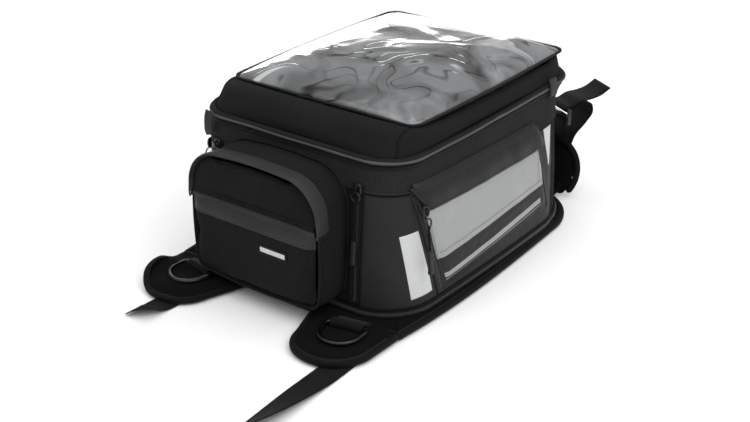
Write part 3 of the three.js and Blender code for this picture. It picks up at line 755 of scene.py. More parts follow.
def pad(name, points, faces, voxel, material, body, pressure=4.0, cap=5.0, after=None):
    """A padded piece: remeshed, then filled out by cloth pressure in simulate()."""
    obj = make(name, points, faces, material, body)
    remesh = obj.modifiers.new("voxels", "REMESH")
    remesh.mode, remesh.voxel_size, remesh.use_smooth_shade = "VOXEL", voxel * MM, True
    bake(obj)
    PADS.append((obj, pressure, cap, after))
    return obj


def simulate():
    """Cloth under pressure on every pad at once, capped, then one smoothing subdivision."""
    starts = [spots(obj.data) for obj, *_ in PADS]
    scene.frame_start, scene.frame_end = 1, SIM_FRAMES
    for obj, pressure, *_ in PADS:
        fabric = obj.modifiers.new("cloth", "CLOTH")
        s = fabric.settings
        s.quality, s.mass = 4, 0.3
        s.use_pressure, s.uniform_pressure_force = True, pressure
        s.tension_stiffness = s.compression_stiffness = 12
        s.bending_stiffness = 0.6
        s.effector_weights.gravity = 0
        fabric.point_cache.frame_start, fabric.point_cache.frame_end = 1, SIM_FRAMES
    for step in range(1, SIM_FRAMES + 1):
        scene.frame_set(step)
    graph = bpy.context.evaluated_depsgraph_get()
    ends = [spots(obj.evaluated_get(graph).to_mesh()) for obj, *_ in PADS]
    for (obj, _, cap, _), was, now in zip(PADS, starts, ends):
        obj.modifiers.clear()
        shift = now - was
        far = np.linalg.norm(shift, axis=1)[:, None] + 1e-9
        set_spots(obj, was + shift * np.minimum(1, cap * np.tanh(far / cap) / far))
    scene.frame_set(1)
    for obj, _, _, after in PADS:
        smoothing = obj.modifiers.new("subdivision", "SUBSURF")
        smoothing.levels = smoothing.render_levels = 1
        bake(obj)
        if after:
            after(obj)
    PADS.clear()


def carve(obj, groove, depth, width, facing=None):
    """Sinks a sewn channel where groove(points) gives a distance to the seam line."""
    points, normals = spots(obj.data), from_vertices(obj.data, "normal")
    sink = depth * np.exp(-(groove(points) / width) ** 2)
    if facing is not None:
        sink = sink * (normals @ np.asarray(facing, float) > 0.2)
    set_spots(obj, points - normals * sink[:, None])


def edge_seam(loop, offset, depth, facing, axes=(0, 1)):
    """A last step for pad(): a sewn channel at a distance from the edge of a flat loop."""
    return lambda obj: carve(obj, lambda p: np.abs(to_lines(p[:, axes], loop) - offset), depth,
                             1.1, facing)


# ---- Pieces that come in mirrored pairs ----
SMALL_ZIP = dict(pitch=2.0, width=2.6, tooth=1.0, high=0.7)
MIDDLE_ZIP = dict(pitch=2.2, width=3.4, tooth=1.2, high=0.9)
LARGE_ZIP = dict(pitch=2.9, width=5.2, tooth=1.8, high=1.5)


def both(name, build, body=BAG, bodies=None, stands_for=None):
    """A piece on each side: build(name, same or flip, body)."""
    made = []
    for tag, _, side in SIDES:
        made.append(build(f"{name}_{tag}", side, f"{bodies}_{tag}" if bodies else body))
        if stands_for:
            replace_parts(made[-1], f"{stands_for}_{tag}")
    return made


def threads(path, outward, **size):
    """A builder for both(): one row of stitches."""
    parts = stitches(path, outward, **size)
    return lambda name, side, body: bundle(name, parts, "thread", body, side)


def teeth(path, outward, **size):
    """A builder for both(): the teeth of one zip."""
    parts = zip_teeth(path, outward, **size)
    return lambda name, side, body: bundle(name, parts, "teeth", body, side)


def tube(path, radius, sides, material, **how):
    """A builder for both(): one cord."""
    return lambda name, side, body: sweep(name, side(path), circle(radius, sides), material, body,
                                          **how)


# ---- Shell, from a slightly tucked foot up to the rim ----
def full_ring(z, proud=0.0, cols=96):
    """One level of the whole wall, from the middle of the front round by the right."""
    right = on(np.linspace(-1, 1, cols) * half_round(z), np.full(cols, float(z)), proud)
    return np.vstack([right, flip(right)[::-1][1:-1]])


levels = np.concatenate([[17, 18, 19.5, 22], np.linspace(26, 176, 34), [178.5, 180]])
shell = surface("shell", [full_ring(z, -3 if z < 17.5 else (-1 if z < 19 else -0.4))
                          for z in levels], "cordura", BAG, thick=4, wrap=True)
shell.data.materials.append(MATERIALS["lining"])
shell.modifiers["thickness"].material_offset = 1
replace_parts(shell, "main_shell")
floor_points, floor_faces = pillow(full_ring(19, -2.6, 110)[:, :2], [
    (90, 17.4), (4, 17.4), (3, 18), (3, 20), (4, 20.8), (90, 20.8)])
make("bag_floor", floor_points, floor_faces, "lining", BAG)


def band_foot(u):
    """Height of the seam under the upper band."""
    return lerp(149.0, 138.5, ease((u + 60) / 150))


def band_half(name, side, body):
    """One half of the cloth band below the rim."""
    foot = np.linspace(-1, 1, 130) * half_round(160)
    rows = []
    for t in spread(26, 2.6, (0, 0.6, 1.4, 2.4)):
        z = lerp(band_foot(foot), 176.2, t)
        puff = (0.9 * np.sin(PI * t) ** 0.5 + 0.5) * (0.2 if t < 0.01 else 1)
        rows.append(on(foot * half_round(z) / half_round(160), z, puff))
    return surface(name, side(rows), "grid_cloth", body)


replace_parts(both("upper_band_cloth", band_half)[0], "upper_band")
seam_u = np.linspace(-1, 1, 120) * half_round(145) * 0.999
both("band_seam", tube(on(seam_u, band_foot(seam_u), 1.0), 0.9, 6, "binding"))
thread_u = np.linspace(-214, 214, 90)
both("band_stitching", threads(on(thread_u, band_foot(thread_u) + 2.6, 1.75), (0.8, 0, 0.3)))
lid_zip = surface("lid_zip_coil", [full_ring(z, proud, 150) for z, proud in (
    (175.6, 0.2), (176.2, 1.0), (177.4, 1.5), (178.6, 1.9), (180.4, 1.5), (181.2, 0.6))],
    "zip_tape", BAG, wrap=True)
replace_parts(lid_zip, "lid_zip")

# ---- Side pockets, as y, z outlines on the wall ----
ZIP_X = {"right": 95, "left": 108}
SIDE_POCKET = [(-117, 23), (114, 36), (80, 150), (-158, 152)]
STORM = [(-143, 133), (89, 126.5), (78, 151), (-157, 156)]


def quad_mix(quad, s, t):
    """The point at s, t of a four-cornered outline."""
    q = np.asarray(quad, float)
    s, t = s[..., None], t[..., None]
    return (q[0] * (1 - s) + q[1] * s) * (1 - t) + (q[3] * (1 - s) + q[2] * s) * t


def inside_quad(y, z, quad):
    """Distance inwards from the nearest edge of a quad, negative outside."""
    q = np.asarray(quad, float)
    best = np.full(np.shape(y), 1e9)
    for p, n in zip(q, np.roll(q, -1, 0)):
        d = unit(n - p)
        best = np.minimum(best, d[0] * (z - p[1]) - d[1] * (y - p[0]))
    return best


def over_pocket(yz, extra=0.0):
    """On the filled pocket."""
    y, z = yz[..., 0], yz[..., 1]
    return on(u_of_y(y, z), z, 1.7 + 4.6 * ease(inside_quad(y, z, SIDE_POCKET) / 17) + extra)


def on_wall(yz, extra=0.0):
    """On the coated skin of the side, where y stands for u."""
    return on(yz[..., 0], yz[..., 1], 0.9 + np.asarray(extra))


def patch(quad, material, height, step, groove, where):
    """A builder for both(): a sewn-on patch with turned edges."""
    wide, tall = (np.linalg.norm(np.subtract(quad[k], quad[0])) for k in (1, 3))
    S, T = np.meshgrid(spread(wide, step), spread(tall, step))
    edge = edge_run(S, T, wide, tall)
    rise = -0.4 + (height + 0.4) * np.sqrt(np.clip(edge / 1.3, 0, 1))
    rise -= groove * np.exp(-((edge - 3.2) / 0.7) ** 2)
    grid = where(quad_mix(quad, S, T), rise)
    return lambda name, side, body: surface(name, side(grid), material, body)


def seam(ends, extra=1.2, pitch=3.4, length=2.2, radius=0.32):
    """A builder for both(): a straight row of stitches on the pocket."""
    t = np.linspace(0, 1, 60)[:, None]
    path = over_pocket(lerp(np.array(ends[0], float), np.array(ends[1], float), t), extra)
    return threads(path, (1, 0, 0.05), pitch=pitch, length=length, radius=radius)


for tag, _, side in SIDES:
    u0 = float(u_of_front(ZIP_X[tag] - 1.5, 90.0))
    S, T = np.meshgrid(np.linspace(0, 1, 110), spread(125, 4, (0, 0.6, 1.4, 2.4)))
    u = lerp(u0, u_of_y(122.0, 90.0), S)
    z = lerp(18.6, band_foot(u) - 0.6, T)
    rise = 0.9 * np.sqrt(np.clip(np.minimum(T, 1 - T) * 125 / 1.2, 0.0, 1)) - 0.1
    surface("side_skin_" + tag, side(on(u, z, rise)), "coated", BAG)

S, T = np.meshgrid(spread(230, 4), spread(120, 4))
edge = edge_run(S, T, 230, 118)
pocket_grid = over_pocket(quad_mix(SIDE_POCKET, S, T),
                          np.where(edge < 0.1, -1.9, np.where(edge < 0.8, -0.4, 0.0)))
both("side_pocket_face", lambda name, side, body: surface(name, side(pocket_grid), "coated", body),
     stands_for="side_pocket")
# Each patch: its corners, material, height, grid step, groove, and the CAD node it stands for.
for name, quad, material, height, step, groove, where, node in (
        ("silver_panel", [(-124, 63), (89, 74.5), (88, 121), (-143, 126)],
         "silver", 0.7, 4, 0.25, over_pocket, "side_panel"),
        ("slanted_zip_tape", [(-123, 21), (-113.5, 21), (-147, 147), (-156.5, 147)],
         "coated", 1.5, 2, 0.5, over_pocket, "side_zip"),
        ("reflective_stripe", [(-112, 36.6), (85, 52), (84, 59.5), (-114.5, 43.5)],
         "silver", 0.3, 4, 0, over_pocket, "side_stripe"),
        ("thin_stripe", [(-111.4, 33.4), (85.4, 48.2), (85.2, 50), (-111.8, 35.2)],
         "silver", 0.2, 4, 0, over_pocket, None),
        ("rear_edge_strip", [(103, 38), (112, 38), (85, 134), (77, 134)],
         "coated", 1.3, 3, 0.4, over_pocket, None),
        ("corner_bar", [(-161, 27), (-131, 29), (-149, 106), (-171, 103)],
         "print", 0.35, 3, 0, on_wall, None),
        ("rear_bar", [(111.5, 89), (114.5, 89), (124, 139), (98, 137)],
         "print", 0.35, 3, 0, on_wall, None)):
    both(name, patch(quad, material, height, step, groove, where), stands_for=node)
both("silver_stitching_low", seam([(-121, 71.5), (88, 82)], radius=0.28))
both("silver_stitching_end", seam([(78, 82), (76, 120)], radius=0.28))
both("pocket_stitching", seam([(-117, 57), (92, 70)], extra=0.3))
both("slanted_stitching", seam([(-114.5, 30), (-146, 146)], extra=1.9, pitch=3.0, length=2.0))
both("side_teeth", teeth(over_pocket(np.linspace((-119.5, 30), (-151, 144), 40), 1.3),
                         (1, 0, 0.07), **SMALL_ZIP))


# ---- Storm flaps over the side pockets ----
def storm_points(S, T, lift=0.0):
    """The flap's outer face, T 0 at its free hem and 1 at its root."""
    yz = quad_mix(STORM, S, T)
    y, z = yz[..., 0], yz[..., 1]
    proud = lerp(12.0, 7.0, T ** 1.5) + 1.5 * np.sin(PI * T) + lift
    proud = proud + (0.7 * np.sin(S * 19) + 0.4 * np.sin(S * 41 + 2)) * (1 - T)
    proud = proud - 3.0 * (ease((0.03 - S) / 0.03) + ease((S - 0.97) / 0.03))
    return on(u_of_y(y, z), z, proud)


def storm_row(T, lift=0.15, inset=0.02, count=80):
    """A line along the flap."""
    return storm_points(np.linspace(inset, 1 - inset, count), np.full(count, float(T)), lift)


storm_grid = storm_points(*np.meshgrid(spread(236, 4), spread(34, 2.4)))
for piece, (tag, _, _) in zip(both("storm_flap", lambda name, side, body: surface(
        name, side(storm_grid), "coated", body, thick=1.6), bodies="side_storm_flap",
        stands_for="side_storm_flap"), SIDES):
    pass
t = np.linspace(0, 1, 30)
hem_line = storm_points(np.concatenate([0 * t, t, 0 * t + 1]),
                        np.concatenate([1 - t, 0 * t, t]), -0.7)
both("storm_hem", tube(resample(hem_line, step=3.5), 1.15, 7, "coated"), bodies="side_storm_flap")
for where, height in (("hem", 0.13), ("root", 0.93)):
    both(f"storm_{where}_stitching", threads(storm_row(height), (1, 0, 0.2)),
         bodies="side_storm_flap")

# Cloth from the wall to the flap's fixed edge.
top_yz = quad_mix(STORM, np.linspace(0.01, 0.99, 50), np.ones(50))
root_foot = on(u_of_y(top_yz[:, 0], top_yz[:, 1]), top_yz[:, 1] + 4.5, 1.5)
root_rows = [lerp(root_foot, storm_row(1, 0, 0.01, 50), k) for k in np.linspace(0, 1, 5)]
for tag, sx, side in SIDES:
    piece = surface("storm_root_" + tag, side(root_rows), "coated", None, thick=1.0)
    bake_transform(piece)


# ---- Corner zips ----
def corner_line(x, proud, z_low, z_high):
    """A line up the front corner that starts from a distance x off the middle."""
    z = np.linspace(z_low, z_high, 40)
    return on(u_of_front(x, z), z, proud)


for tag, _, side in SIDES:
    x = ZIP_X[tag]
    tape = [corner_line(x + off, lift + 0.9, 22, 155) for off, lift in (
        (-5.6, 0.2), (-5.4, 1.1), (-3.2, 1.3), (-2.4, 0.5), (0, 0.5), (2.4, 0.5), (3.2, 1.3),
        (5.4, 1.1), (5.6, 0.2))]
    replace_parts(surface("corner_zip_tape_" + tag, side(tape), "zip_tape", BAG),
                "corner_zip_" + tag)
    u = u_of_front(x, 90.0)
    outward = unit(on(u, 90.0, 5) - on(u, 90.0, 0))
    bundle("corner_teeth_" + tag, zip_teeth(corner_line(x, 1.2, 24, 153), outward,
                                            **MIDDLE_ZIP), "teeth", BAG, side)
    for where, off in (("inner", -6.6), ("outer", 6.6)):
        sweep(f"corner_zip_{where}_cord_{tag}", side(corner_line(x + off, 1.7, 20, 158)),
              circle(1.2, 6), "binding", BAG)

# ---- Base ----
base_zip = surface("base_zip_tape", [lifted(full_ring(17, proud, 150), z) for z, proud in (
    (8.9, 2.6), (9.6, 2.4), (11.0, 1.6), (12.6, 1.4), (14.2, 1.4), (15.6, 1.7), (16.6, 0.2))],
    "zip_tape", BAG, wrap=True)
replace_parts(base_zip, "base_zip")
half = lifted(on(np.linspace(-1, 1, 400) * half_round(17) * 0.998, np.full(400, 17.0), 2.0), 12.7)
aim = frames_along(half)[1]
both("base_teeth", teeth(half, aim * np.sign(aim[200, 0]), **LARGE_ZIP))
sweep("base_piping", lifted(full_ring(17, 0.6, 110), 18.2), circle(1.2, 7), "binding", BAG,
      closed=True)


def base_loop(inset=0.0):
    """The base panel's outline from above."""
    half_x, y0, y1 = BASE["half_x"], BASE["front"], BASE["rear"]
    rear, front = BASE["rear_corner"], BASE["front_corner"]
    points = [corner_arc(cx, cy, r, q, 14 if r > 20 else 7) for cx, cy, r, q in (
        (half_x - rear, y1 - rear, rear, 0), (rear - half_x, y1 - rear, rear, 1),
        (front - half_x, y0 + front, front, 2), (half_x - front, y0 + front, front, 3))]
    return inset_loop(resample(np.vstack(points), step=5, closed=True), inset)


base_points, base_faces = pillow(base_loop(), [
    (70, 1.6), (2.2, 1.6), (0.8, 2.2), (0.5, 4.8), (0.8, 7.2), (2.4, 8.0), (6.0, 8.0),
    (7.6, 7.3), (9.2, 8.1), (14, 8.3), (30, 8.2), (70, 7.5)])
base_pad = make("base_pad", base_points, base_faces, "flap_cloth", BAG)
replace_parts(base_pad, "base_panel")


def binding(name, path, up, body, closed=False, width=9.0, thick=7.4, material="binding"):
    """A tape folded over a padded edge; the path runs along the edge at mid height."""
    h, back = thick / 2, 2 - width
    section = [(back, h), (-0.6, h), (0.5, h * 0.6), (0.8, 0), (0.5, -h * 0.6), (-0.6, -h),
               (back, -h), (back, -h + 0.5), (-1, -h + 0.7), (-0.2, 0), (-1, h - 0.7),
               (back, h - 0.5)]
    return sweep(name, path, section, material, body, closed, up)


binding("base_binding", lifted(base_loop(0.6), 4.95), (0, 0, 1), BAG, closed=True, width=8.0,
        thick=7.0)


# ---- Front pocket ----
POCKET_HUB = (POCKET["mid_x"], -215, 96)
HINGE_Z = POCKET["hinge"]
POCKET_VOXEL = 3.4


def arch(inset=0.0, step=5.0):
    """The pocket's arched outline seen from the front, as x, z."""
    half_x, foot, shoulder = POCKET["half_x"], POCKET["foot"], POCKET["shoulder"]
    low, high = POCKET["bottom"] + foot, POCKET["top"] - shoulder
    return resample(np.vstack([
        corner_arc(POCKET["mid_x"] + cx, cz, r - inset, q, 8) for cx, cz, r, q in (
            (half_x - foot, low, foot, -1), (half_x - shoulder, high, shoulder, 0),
            (shoulder - half_x, high, shoulder, 1), (foot - half_x, low, foot, 2))]),
        step=step, closed=True)


def from_foot(loop):
    """An arched outline, turned so that it starts at the middle of its foot."""
    start = np.argmin(np.abs(loop[:, 0] - POCKET["mid_x"]) + 1000 * (loop[:, 1] > 60))
    return np.roll(loop, -start, 0)


def open_arch(inset, z_from, step):
    """The part of the outline above a height, from right to left, and its outward directions."""
    loop = from_foot(arch(inset, 1.0))
    line = resample(loop[loop[:, 1] > z_from], step=step)
    return line, unit(line - inset_loop(np.vstack([line, [[POCKET["mid_x"], 60]]]), 1.0)[:-1])


rim = arch(0.0, 3.2)
rim_out = rim - inset_loop(rim, 1.0)
wall_y = -(wall(rim[:, 1])[1] + 1.4)
rows = []
for d in np.concatenate([[0, 0.01, 0.03], np.linspace(0.07, 0.93, 17), [0.97, 1.0]]):
    swell = 2.2 * math.sin(PI * d) ** 0.7
    wave = 0.7 * np.sin(rim[:, 1] / 15 + 5 * d) * np.sin(rim[:, 0] / 23 + 3 * d)
    bulge = (swell + wave * math.sin(PI * d) - 0.6)[:, None]
    rows.append(upright(rim + rim_out * bulge, lerp(wall_y, -233.5, d)))
gusset = surface("pocket_gusset", rows, "pocket_cloth", BAG, away=POCKET_HUB, thick=2.6, wrap=True)
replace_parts(gusset, "front_pocket")


def pocket_pad(name, low, inset, profile, cap, body):
    """The pocket's filled face below or above its fold, with a sewn channel near its edge."""
    loop = arch(inset, 1.6)
    part = opened(loop[loop[:, 1] < HINGE_Z - 0.6] if low else loop[loop[:, 1] > HINGE_Z + 1.0])
    loop = np.vstack([part, np.linspace(part[-1], part[0], 70)[1:-1]])
    points, faces = pillow(loop, profile)
    return pad(name, upright(points, POCKET["front"] - points[:, 2]), faces, POCKET_VOXEL,
               "pocket_cloth", body, pressure=5.0, cap=cap,
               after=edge_seam(loop, 5.0, 0.55, (0, -1, 0), axes=(0, 2)))


face = pocket_pad("pocket_face", True, 0.2, [(2.2, -5.0), (0.4, -4.4), (0, -2.6), (0.8, -1.0),
                                             (3.0, -0.4)], 5.5, BAG)
leaf = pocket_pad("pocket_leaf", False, 0.9, [(2.6, -5.4), (0.5, -4.8), (0, -3.0), (1.2, -1.0),
                                              (3.6, -0.3)], 5.0, LEAF)
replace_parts(leaf, "front_pocket_panel")
sweep("pocket_edge_cord", upright(from_foot(arch(0.2, 3.0)), -234.3), circle(1.35, 7),
      "pocket_cloth", BAG, closed=True, up=(0, 1, 0))

# The rain flap that stands over the pocket's zip.
band, band_out = open_arch(0.0, 112.0, 2.5)
t = np.linspace(0, 1, len(band))
rows = []
for d, lift in ((0, -0.2), (0.05, 1.1), (0.2, 1.9), (0.4, 2.5), (0.6, 3.0), (0.8, 3.3),
                (0.95, 3.3), (1.0, 2.6), (0.99, 1.9)):
    wave = 0.5 * np.sin(t * 23 + 1) * d
    tuck = 1.8 * (ease((0.05 - t) / 0.05) + ease((t - 0.95) / 0.05)) * d
    rows.append(upright(band + band_out * (lift + wave - tuck)[:, None],
                        lerp(-216.5, -238.5, d) + 1.2 * np.sin(t * 9) * d))
rain = surface("pocket_storm_band", rows, "trim", BAG, away=POCKET_HUB, thick=1.5)
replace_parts(rain, "front_pocket_storm_flap")
sweep("pocket_storm_hem", upright(band + band_out * 2.3, -238.0), circle(1.1, 7), "trim", BAG)
for where, depth, rise in (("root", -219.5, 1.75), ("hem", -235.0, 3.45)):
    path, outward = upright(band + band_out * rise, depth), upright(band_out, 0)
    bundle(f"pocket_storm_{where}_stitching", [
        stitches(path[i - 1:i + 1], outward[i], pitch=2.5, length=1.7, radius=0.3)[0]
        for i in range(2, len(path) - 2)], "thread", BAG)
chain, chain_out = open_arch(-0.2, 119.0, 2.0)
bundle("pocket_teeth", zip_teeth(upright(chain, -235.8), upright(chain_out, 0), **MIDDLE_ZIP),
       "teeth", BAG)


def hits(targets, x, z, y_from=-300.0):
    """The y of the front face of a few pieces at x, z: arrays of one shape."""
    graph = bpy.context.evaluated_depsgraph_get()
    trees = [BVHTree.FromObject(t, graph) for t in targets]
    found, last = np.empty(x.size), POCKET["front"]
    for i, (a, b) in enumerate(zip(x.ravel(), z.ravel())):
        struck = [tree.ray_cast(Vector((a, y_from, b)) * MM, Vector((0, 1, 0)))[0]
                  for tree in trees]
        last = min([spot.y / MM for spot in struck if spot] or [last])
        found[i] = last
    return found.reshape(x.shape)


def flat_patch(name, x0, x1, z0, z1, targets, height, material, body, crown=0.0, groove=0.0,
               step=4.0):
    """A sewn patch that lies on the pocket's filled face."""
    S, T = np.meshgrid(spread(x1 - x0, step), spread(z1 - z0, step))
    edge = edge_run(S, T, x1 - x0, z1 - z0)
    rise = height * np.sqrt(np.clip(edge / 1.1, 0, 1)) + crown * np.sin(PI * T) * np.sin(PI * S)
    rise -= groove * np.exp(-((edge - 3.0) / 0.7) ** 2)
    X, Z = lerp(x0, x1, S), lerp(z0, z1, T)
    return surface(name, xyz(X, hits(targets, X, Z) - rise + 0.1, Z), material, body,
                   away=POCKET_HUB)


# ---- Lid ----
def lid_rings():
    """The padded border, outside from the zip up to the window, then back inside."""
    low = dict(zip(("half_x", "half_y", "corner"), wall(RIM_Z)), mid_y=0, z=LID_BOTTOM)
    layers = []
    for a, drop_a, inset_a, b, drop_b, inset_b, first, last, count in (
            (low, 0, 1.0, SHOULDER, 0, 2.5, 0, 1, 6),
            (SHOULDER, 0, 3.5, WINDOW, 0, 0.5, 0.12, 1, 6),
            (WINDOW, 4, 0.5, WINDOW, 4, 0.5, 0, 0, 1),
            (WINDOW, 7, 1.0, SHOULDER, 6, 8.0, 0.1, 0.9, 4),
            (SHOULDER, 6, 8.0, low, 0, 6.0, 0.15, 1, 5)):
        for t in np.linspace(first, last, count):
            here = {k: lerp(a[k], b[k], t) for k in low}
            inset = lerp(inset_a, inset_b, t)
            ring = rounded(here["half_x"] - inset, here["half_y"] - inset,
                           max(here["corner"] - inset, 3), here["mid_y"], arc=8, long=16,
                           short=12, bow=BOW)
            layers.append(lifted(ring, here["z"] - lerp(drop_a, drop_b, t)))
    return layers


def lid_mitre(sx, sy):
    """The seam from one of the window's corners down to the rim."""
    top, middle = (np.array([sx * (a["half_x"] - inset) * (1 - BOW),
                             a["mid_y"] + sy * (a["half_y"] - inset), a["z"] - drop])
                   for a, inset, drop in ((WINDOW, 4, 0), (SHOULDER, 10, 0.5)))
    foot = np.array([sx * 128.0, sy * 170.0, LID_BOTTOM + 1])
    return np.stack([top, middle, lerp(middle, foot, 0.5), foot])


MITRES = [lid_mitre(sx, sy) for sx in (1, -1) for sy in (1, -1)]


def window_outline(proud, corner, **steps):
    """The window's outline from above, widened by `proud`."""
    return rounded(WINDOW["half_x"] + proud, WINDOW["half_y"] + proud, corner, WINDOW["mid_y"], bow=BOW,
                   **steps)


def sew_lid(obj):
    """Grooves along the mitred corners and round the window."""
    carve(obj, lambda p: np.min([to_lines(p, resample(line, step=2), False, True)
                                 for line in MITRES], axis=0), 1.5, 1.6)
    carve(obj, lambda p: to_lines(p[:, :2], window_outline(3.5, 16)), 0.7, 1.2, (0, 0, 1))


lid_border = pad("lid_cloth", *rings(lid_rings(), closed=True), 3.6, "cordura", LID,
                 pressure=4.0, cap=5.0, after=sew_lid)
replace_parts(lid_border, "lid_border")


# ---- Flaps ----
FLAP_VOXEL = 2.3


def hinge_cloth(name, x, rows, material, away, thick=1.0):
    """Cloth that bends from the bag to a body: rows of y, z across x."""
    piece = surface(name, [xyz(x, y, z) for y, z in rows], material, None, away=away, thick=thick)
    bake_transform(piece)
    return piece


def front_flap_loop(inset):
    """The right flap's outline."""
    inner, outer, hinge, tip = (FLAP[k] for k in ("inner", "outer", "hinge", "tip"))
    loop = [(outer, hinge), (lerp(inner, outer, 0.5), hinge), (inner, hinge),
            (inner + 8, hinge - 24)]
    loop += bezier((inner + 17, hinge - 50), (inner + 22, tip + 10), (inner + 40, tip),
                   (inner + 62, tip))
    loop += bezier((inner + 62, tip), (outer - 20, tip), (outer - 4, tip + 20),
                   (outer - 1, tip + 42))[1:]
    loop.append((outer - 0.5, lerp(tip + 42, hinge, 0.5)))
    return inset_loop(filled_in(np.array(loop)), inset)


def curl_left(points):
    """To the left, where the flap's outer edge lifts off the ground a little."""
    x, y, z = np.array(points, float).T
    lift = ease((np.abs(x) - 119) / 40) * ease((-209 - y) / 34)
    return xyz(-x, y, z + 12.0 * lift ** 1.4)


for (tag, sx, side), shape in zip(SIDES, (same, curl_left)):
    body = "front_flap_" + tag
    loop = front_flap_loop(1.0)
    points, faces = pillow(loop, [(2.0, 2.8), (0, 3.6), (0, 6.8), (2.0, 7.8)])
    piece = pad("flap_cloth_" + tag, shape(points), faces, FLAP_VOXEL, "flap_cloth", body,
                pressure=2.5, cap=1.6, after=edge_seam(loop * (sx, 1), 9.5, 0.6, (0, 0, 1)))
    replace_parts(piece, body)
    edge, back = front_flap_loop(0.6), FLAP["hinge"] + 3
    edge = opened(edge[edge[:, 1] < FLAP["hinge"] - 1.5])
    edge = resample(np.vstack([[[edge[0, 0], back]], edge, [[edge[-1, 0], back]]]), step=4)
    binding("flap_binding_" + tag, shape(lifted(edge, 5.3)), (0, 0, sx), body,
            width=8.5, thick=6.6)
    hinge_cloth("flap_hinge_" + tag, sx * np.linspace(FLAP["inner"] + 4, FLAP["outer"] - 4, 40),
                ((-196, 7.9), (-199, 8.9), (-202, 9.0), (-204, 8.7), (-206.5, 8.8), (-210, 9.0),
                 (-214, 8.5), (-215.5, 7.6)), "flap_cloth", (0, -205, 0))


def rear_flap_loop():
    """The right rear flap's outline, flat, from its hinge at y = 0."""
    inner, outer, length = (REAR_FLAP[k] for k in ("inner", "outer", "length"))
    loop = [(inner, 0), (lerp(inner, outer, 0.5), 0)]
    loop += bezier((outer - 10, 0), (outer + 11, 0.3 * length), (outer + 8, 0.85 * length),
                   (outer - 26, length))
    loop += bezier((inner + 36, length), (inner + 14, length), (inner + 8, 0.6 * length),
                   (inner, 0))[:-1]
    return filled_in(np.array(loop, float))


REAR_PLACE = place(0, REAR_FLAP["hinge"] + REAR_FLAP["thick"], 1.5, 0, REAR_FLAP["lean"])
rear_up = np.array(REAR_PLACE.col[2][:3])
for tag, sx, side in SIDES:
    body = "rear_flap_" + tag
    loop = rear_flap_loop()
    points, faces = pillow(loop, [(2.0, 0.4), (0.4, 1.2), (0.4, 4.8), (2.0, 5.6)])
    piece = pad("rear_flap_cloth_" + tag, side(moved(points, REAR_PLACE)), faces, FLAP_VOXEL,
                "flap_cloth", body, pressure=2.5, cap=1.4)
    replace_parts(piece, body)
    edge = np.vstack([opened(loop[loop[:, 1] > 5]), [[79, 0]]])
    edge = resample(inset_loop(edge, 0.4)[:-1], step=4)
    binding("rear_flap_binding_" + tag, side(moved(lifted(edge, 3.0), REAR_PLACE)), -sx * rear_up,
            body, width=8.0, thick=6.2)
    x = np.linspace(REAR_FLAP["inner"] + 5, REAR_FLAP["outer"] - 11, 34)
    corner = BASE["rear_corner"]
    bend = np.clip(x - (BASE["half_x"] - corner), 0, corner)
    root = BASE["rear"] - corner + np.sqrt(corner ** 2 - bend ** 2) - 8
    hinge_cloth("rear_hinge_" + tag, sx * x, [(lerp(root, 211.3, t), z) for t, z in (
        (0, 7.9), (0.28, 9.0), (0.56, 9.4), (0.77, 10.0), (0.88, 12.2), (0.95, 15.5), (1, 19.0))],
        "flap_cloth", (0, 240, -10))

simulate()
lid_tree = BVHTree.FromObject(lid_border, bpy.context.evaluated_depsgraph_get())
for k, line in enumerate(MITRES, 1):
    path = [lid_tree.find_nearest(Vector(p) * MM)[0] / MM for p in resample(line, step=5)]
    sweep(f"lid_mitre_{k}", path, circle(0.85, 6), "binding", LID)
x = np.linspace(-94, 74, 57)
low_y, high_y = hits((face,), x, 0 * x + 112.5), hits((leaf,), x, 0 * x + 124.5)
fold = hinge_cloth("pocket_fold", x, [(lerp(low_y, high_y, t) - out, z) for z, t, out in (
    (111.5, 0, -0.9), (112.5, 0, 0.1), (115, 0.2, 0.9), (117.5, 0.45, 1.1), (120, 0.65, 0.9),
    (122.5, 0.85, 0.6), (124.5, 1, 0.1), (125.5, 1, -0.9))], "pocket_cloth", POCKET_HUB,
    thick=0.8)


# ---- On the pocket's face, now that it is filled ----
def face_stitches(name, x, z, proud, **size):
    """A row of stitches on the pocket's filled face."""
    path = xyz(x, hits((face,), x, z) - proud, z)
    bundle(name, stitches(path, (0, -1, 0), **size), "thread", BAG)


mid, half_x = POCKET["mid_x"], POCKET["half_x"]
trim = flat_patch("pocket_trim", mid - half_x + 1.5, mid + half_x - 1.5, 97.5, 117.6, (face, fold), 1.1,
                  "trim", BAG, groove=0.3)
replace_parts(trim, "front_pocket_trim")
label = flat_patch("pocket_label", 0.5, 42.5, 73.5, 86.5, (face,), 0.8, "binding", BAG,
                   groove=0.35)
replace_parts(label, "front_pocket_label")
flat_patch("pocket_label_inlay", 4, 39, 76.8, 83.2, (face,), 1.15, "print", BAG, step=3)
for where, z in (("low", 99.6), ("high", 115.2)):
    x = np.linspace(mid - half_x + 3, mid + half_x - 3, 60)
    face_stitches("pocket_trim_stitching_" + where, x, 0 * x + z, 1.15)
x, z = np.vstack([np.linspace(a, b, n) for a, b, n in (
    ((2, 75), (41, 75), 14), ((41, 75), (41, 85), 5), ((41, 85), (2, 85), 14),
    ((2, 85), (2, 75), 5))]).T
face_stitches("label_stitching", x, z, 0.9, pitch=2.6, length=1.8, radius=0.25)
y = np.linspace(-233, -196, 16)
for tag, sx, _ in SIDES:
    sweep("gusset_seam_" + tag, xyz(mid + sx * (half_x + 2.4 + 1.2 * np.sin(PI * (y + 233) / 37)), y,
                                    103 + 11 * ease((y + 233) / 37)),
          circle(0.8, 6), "pocket_cloth", BAG)
root = arch(-1.6, 4.0)
root = opened(root[root[:, 1] > 30])
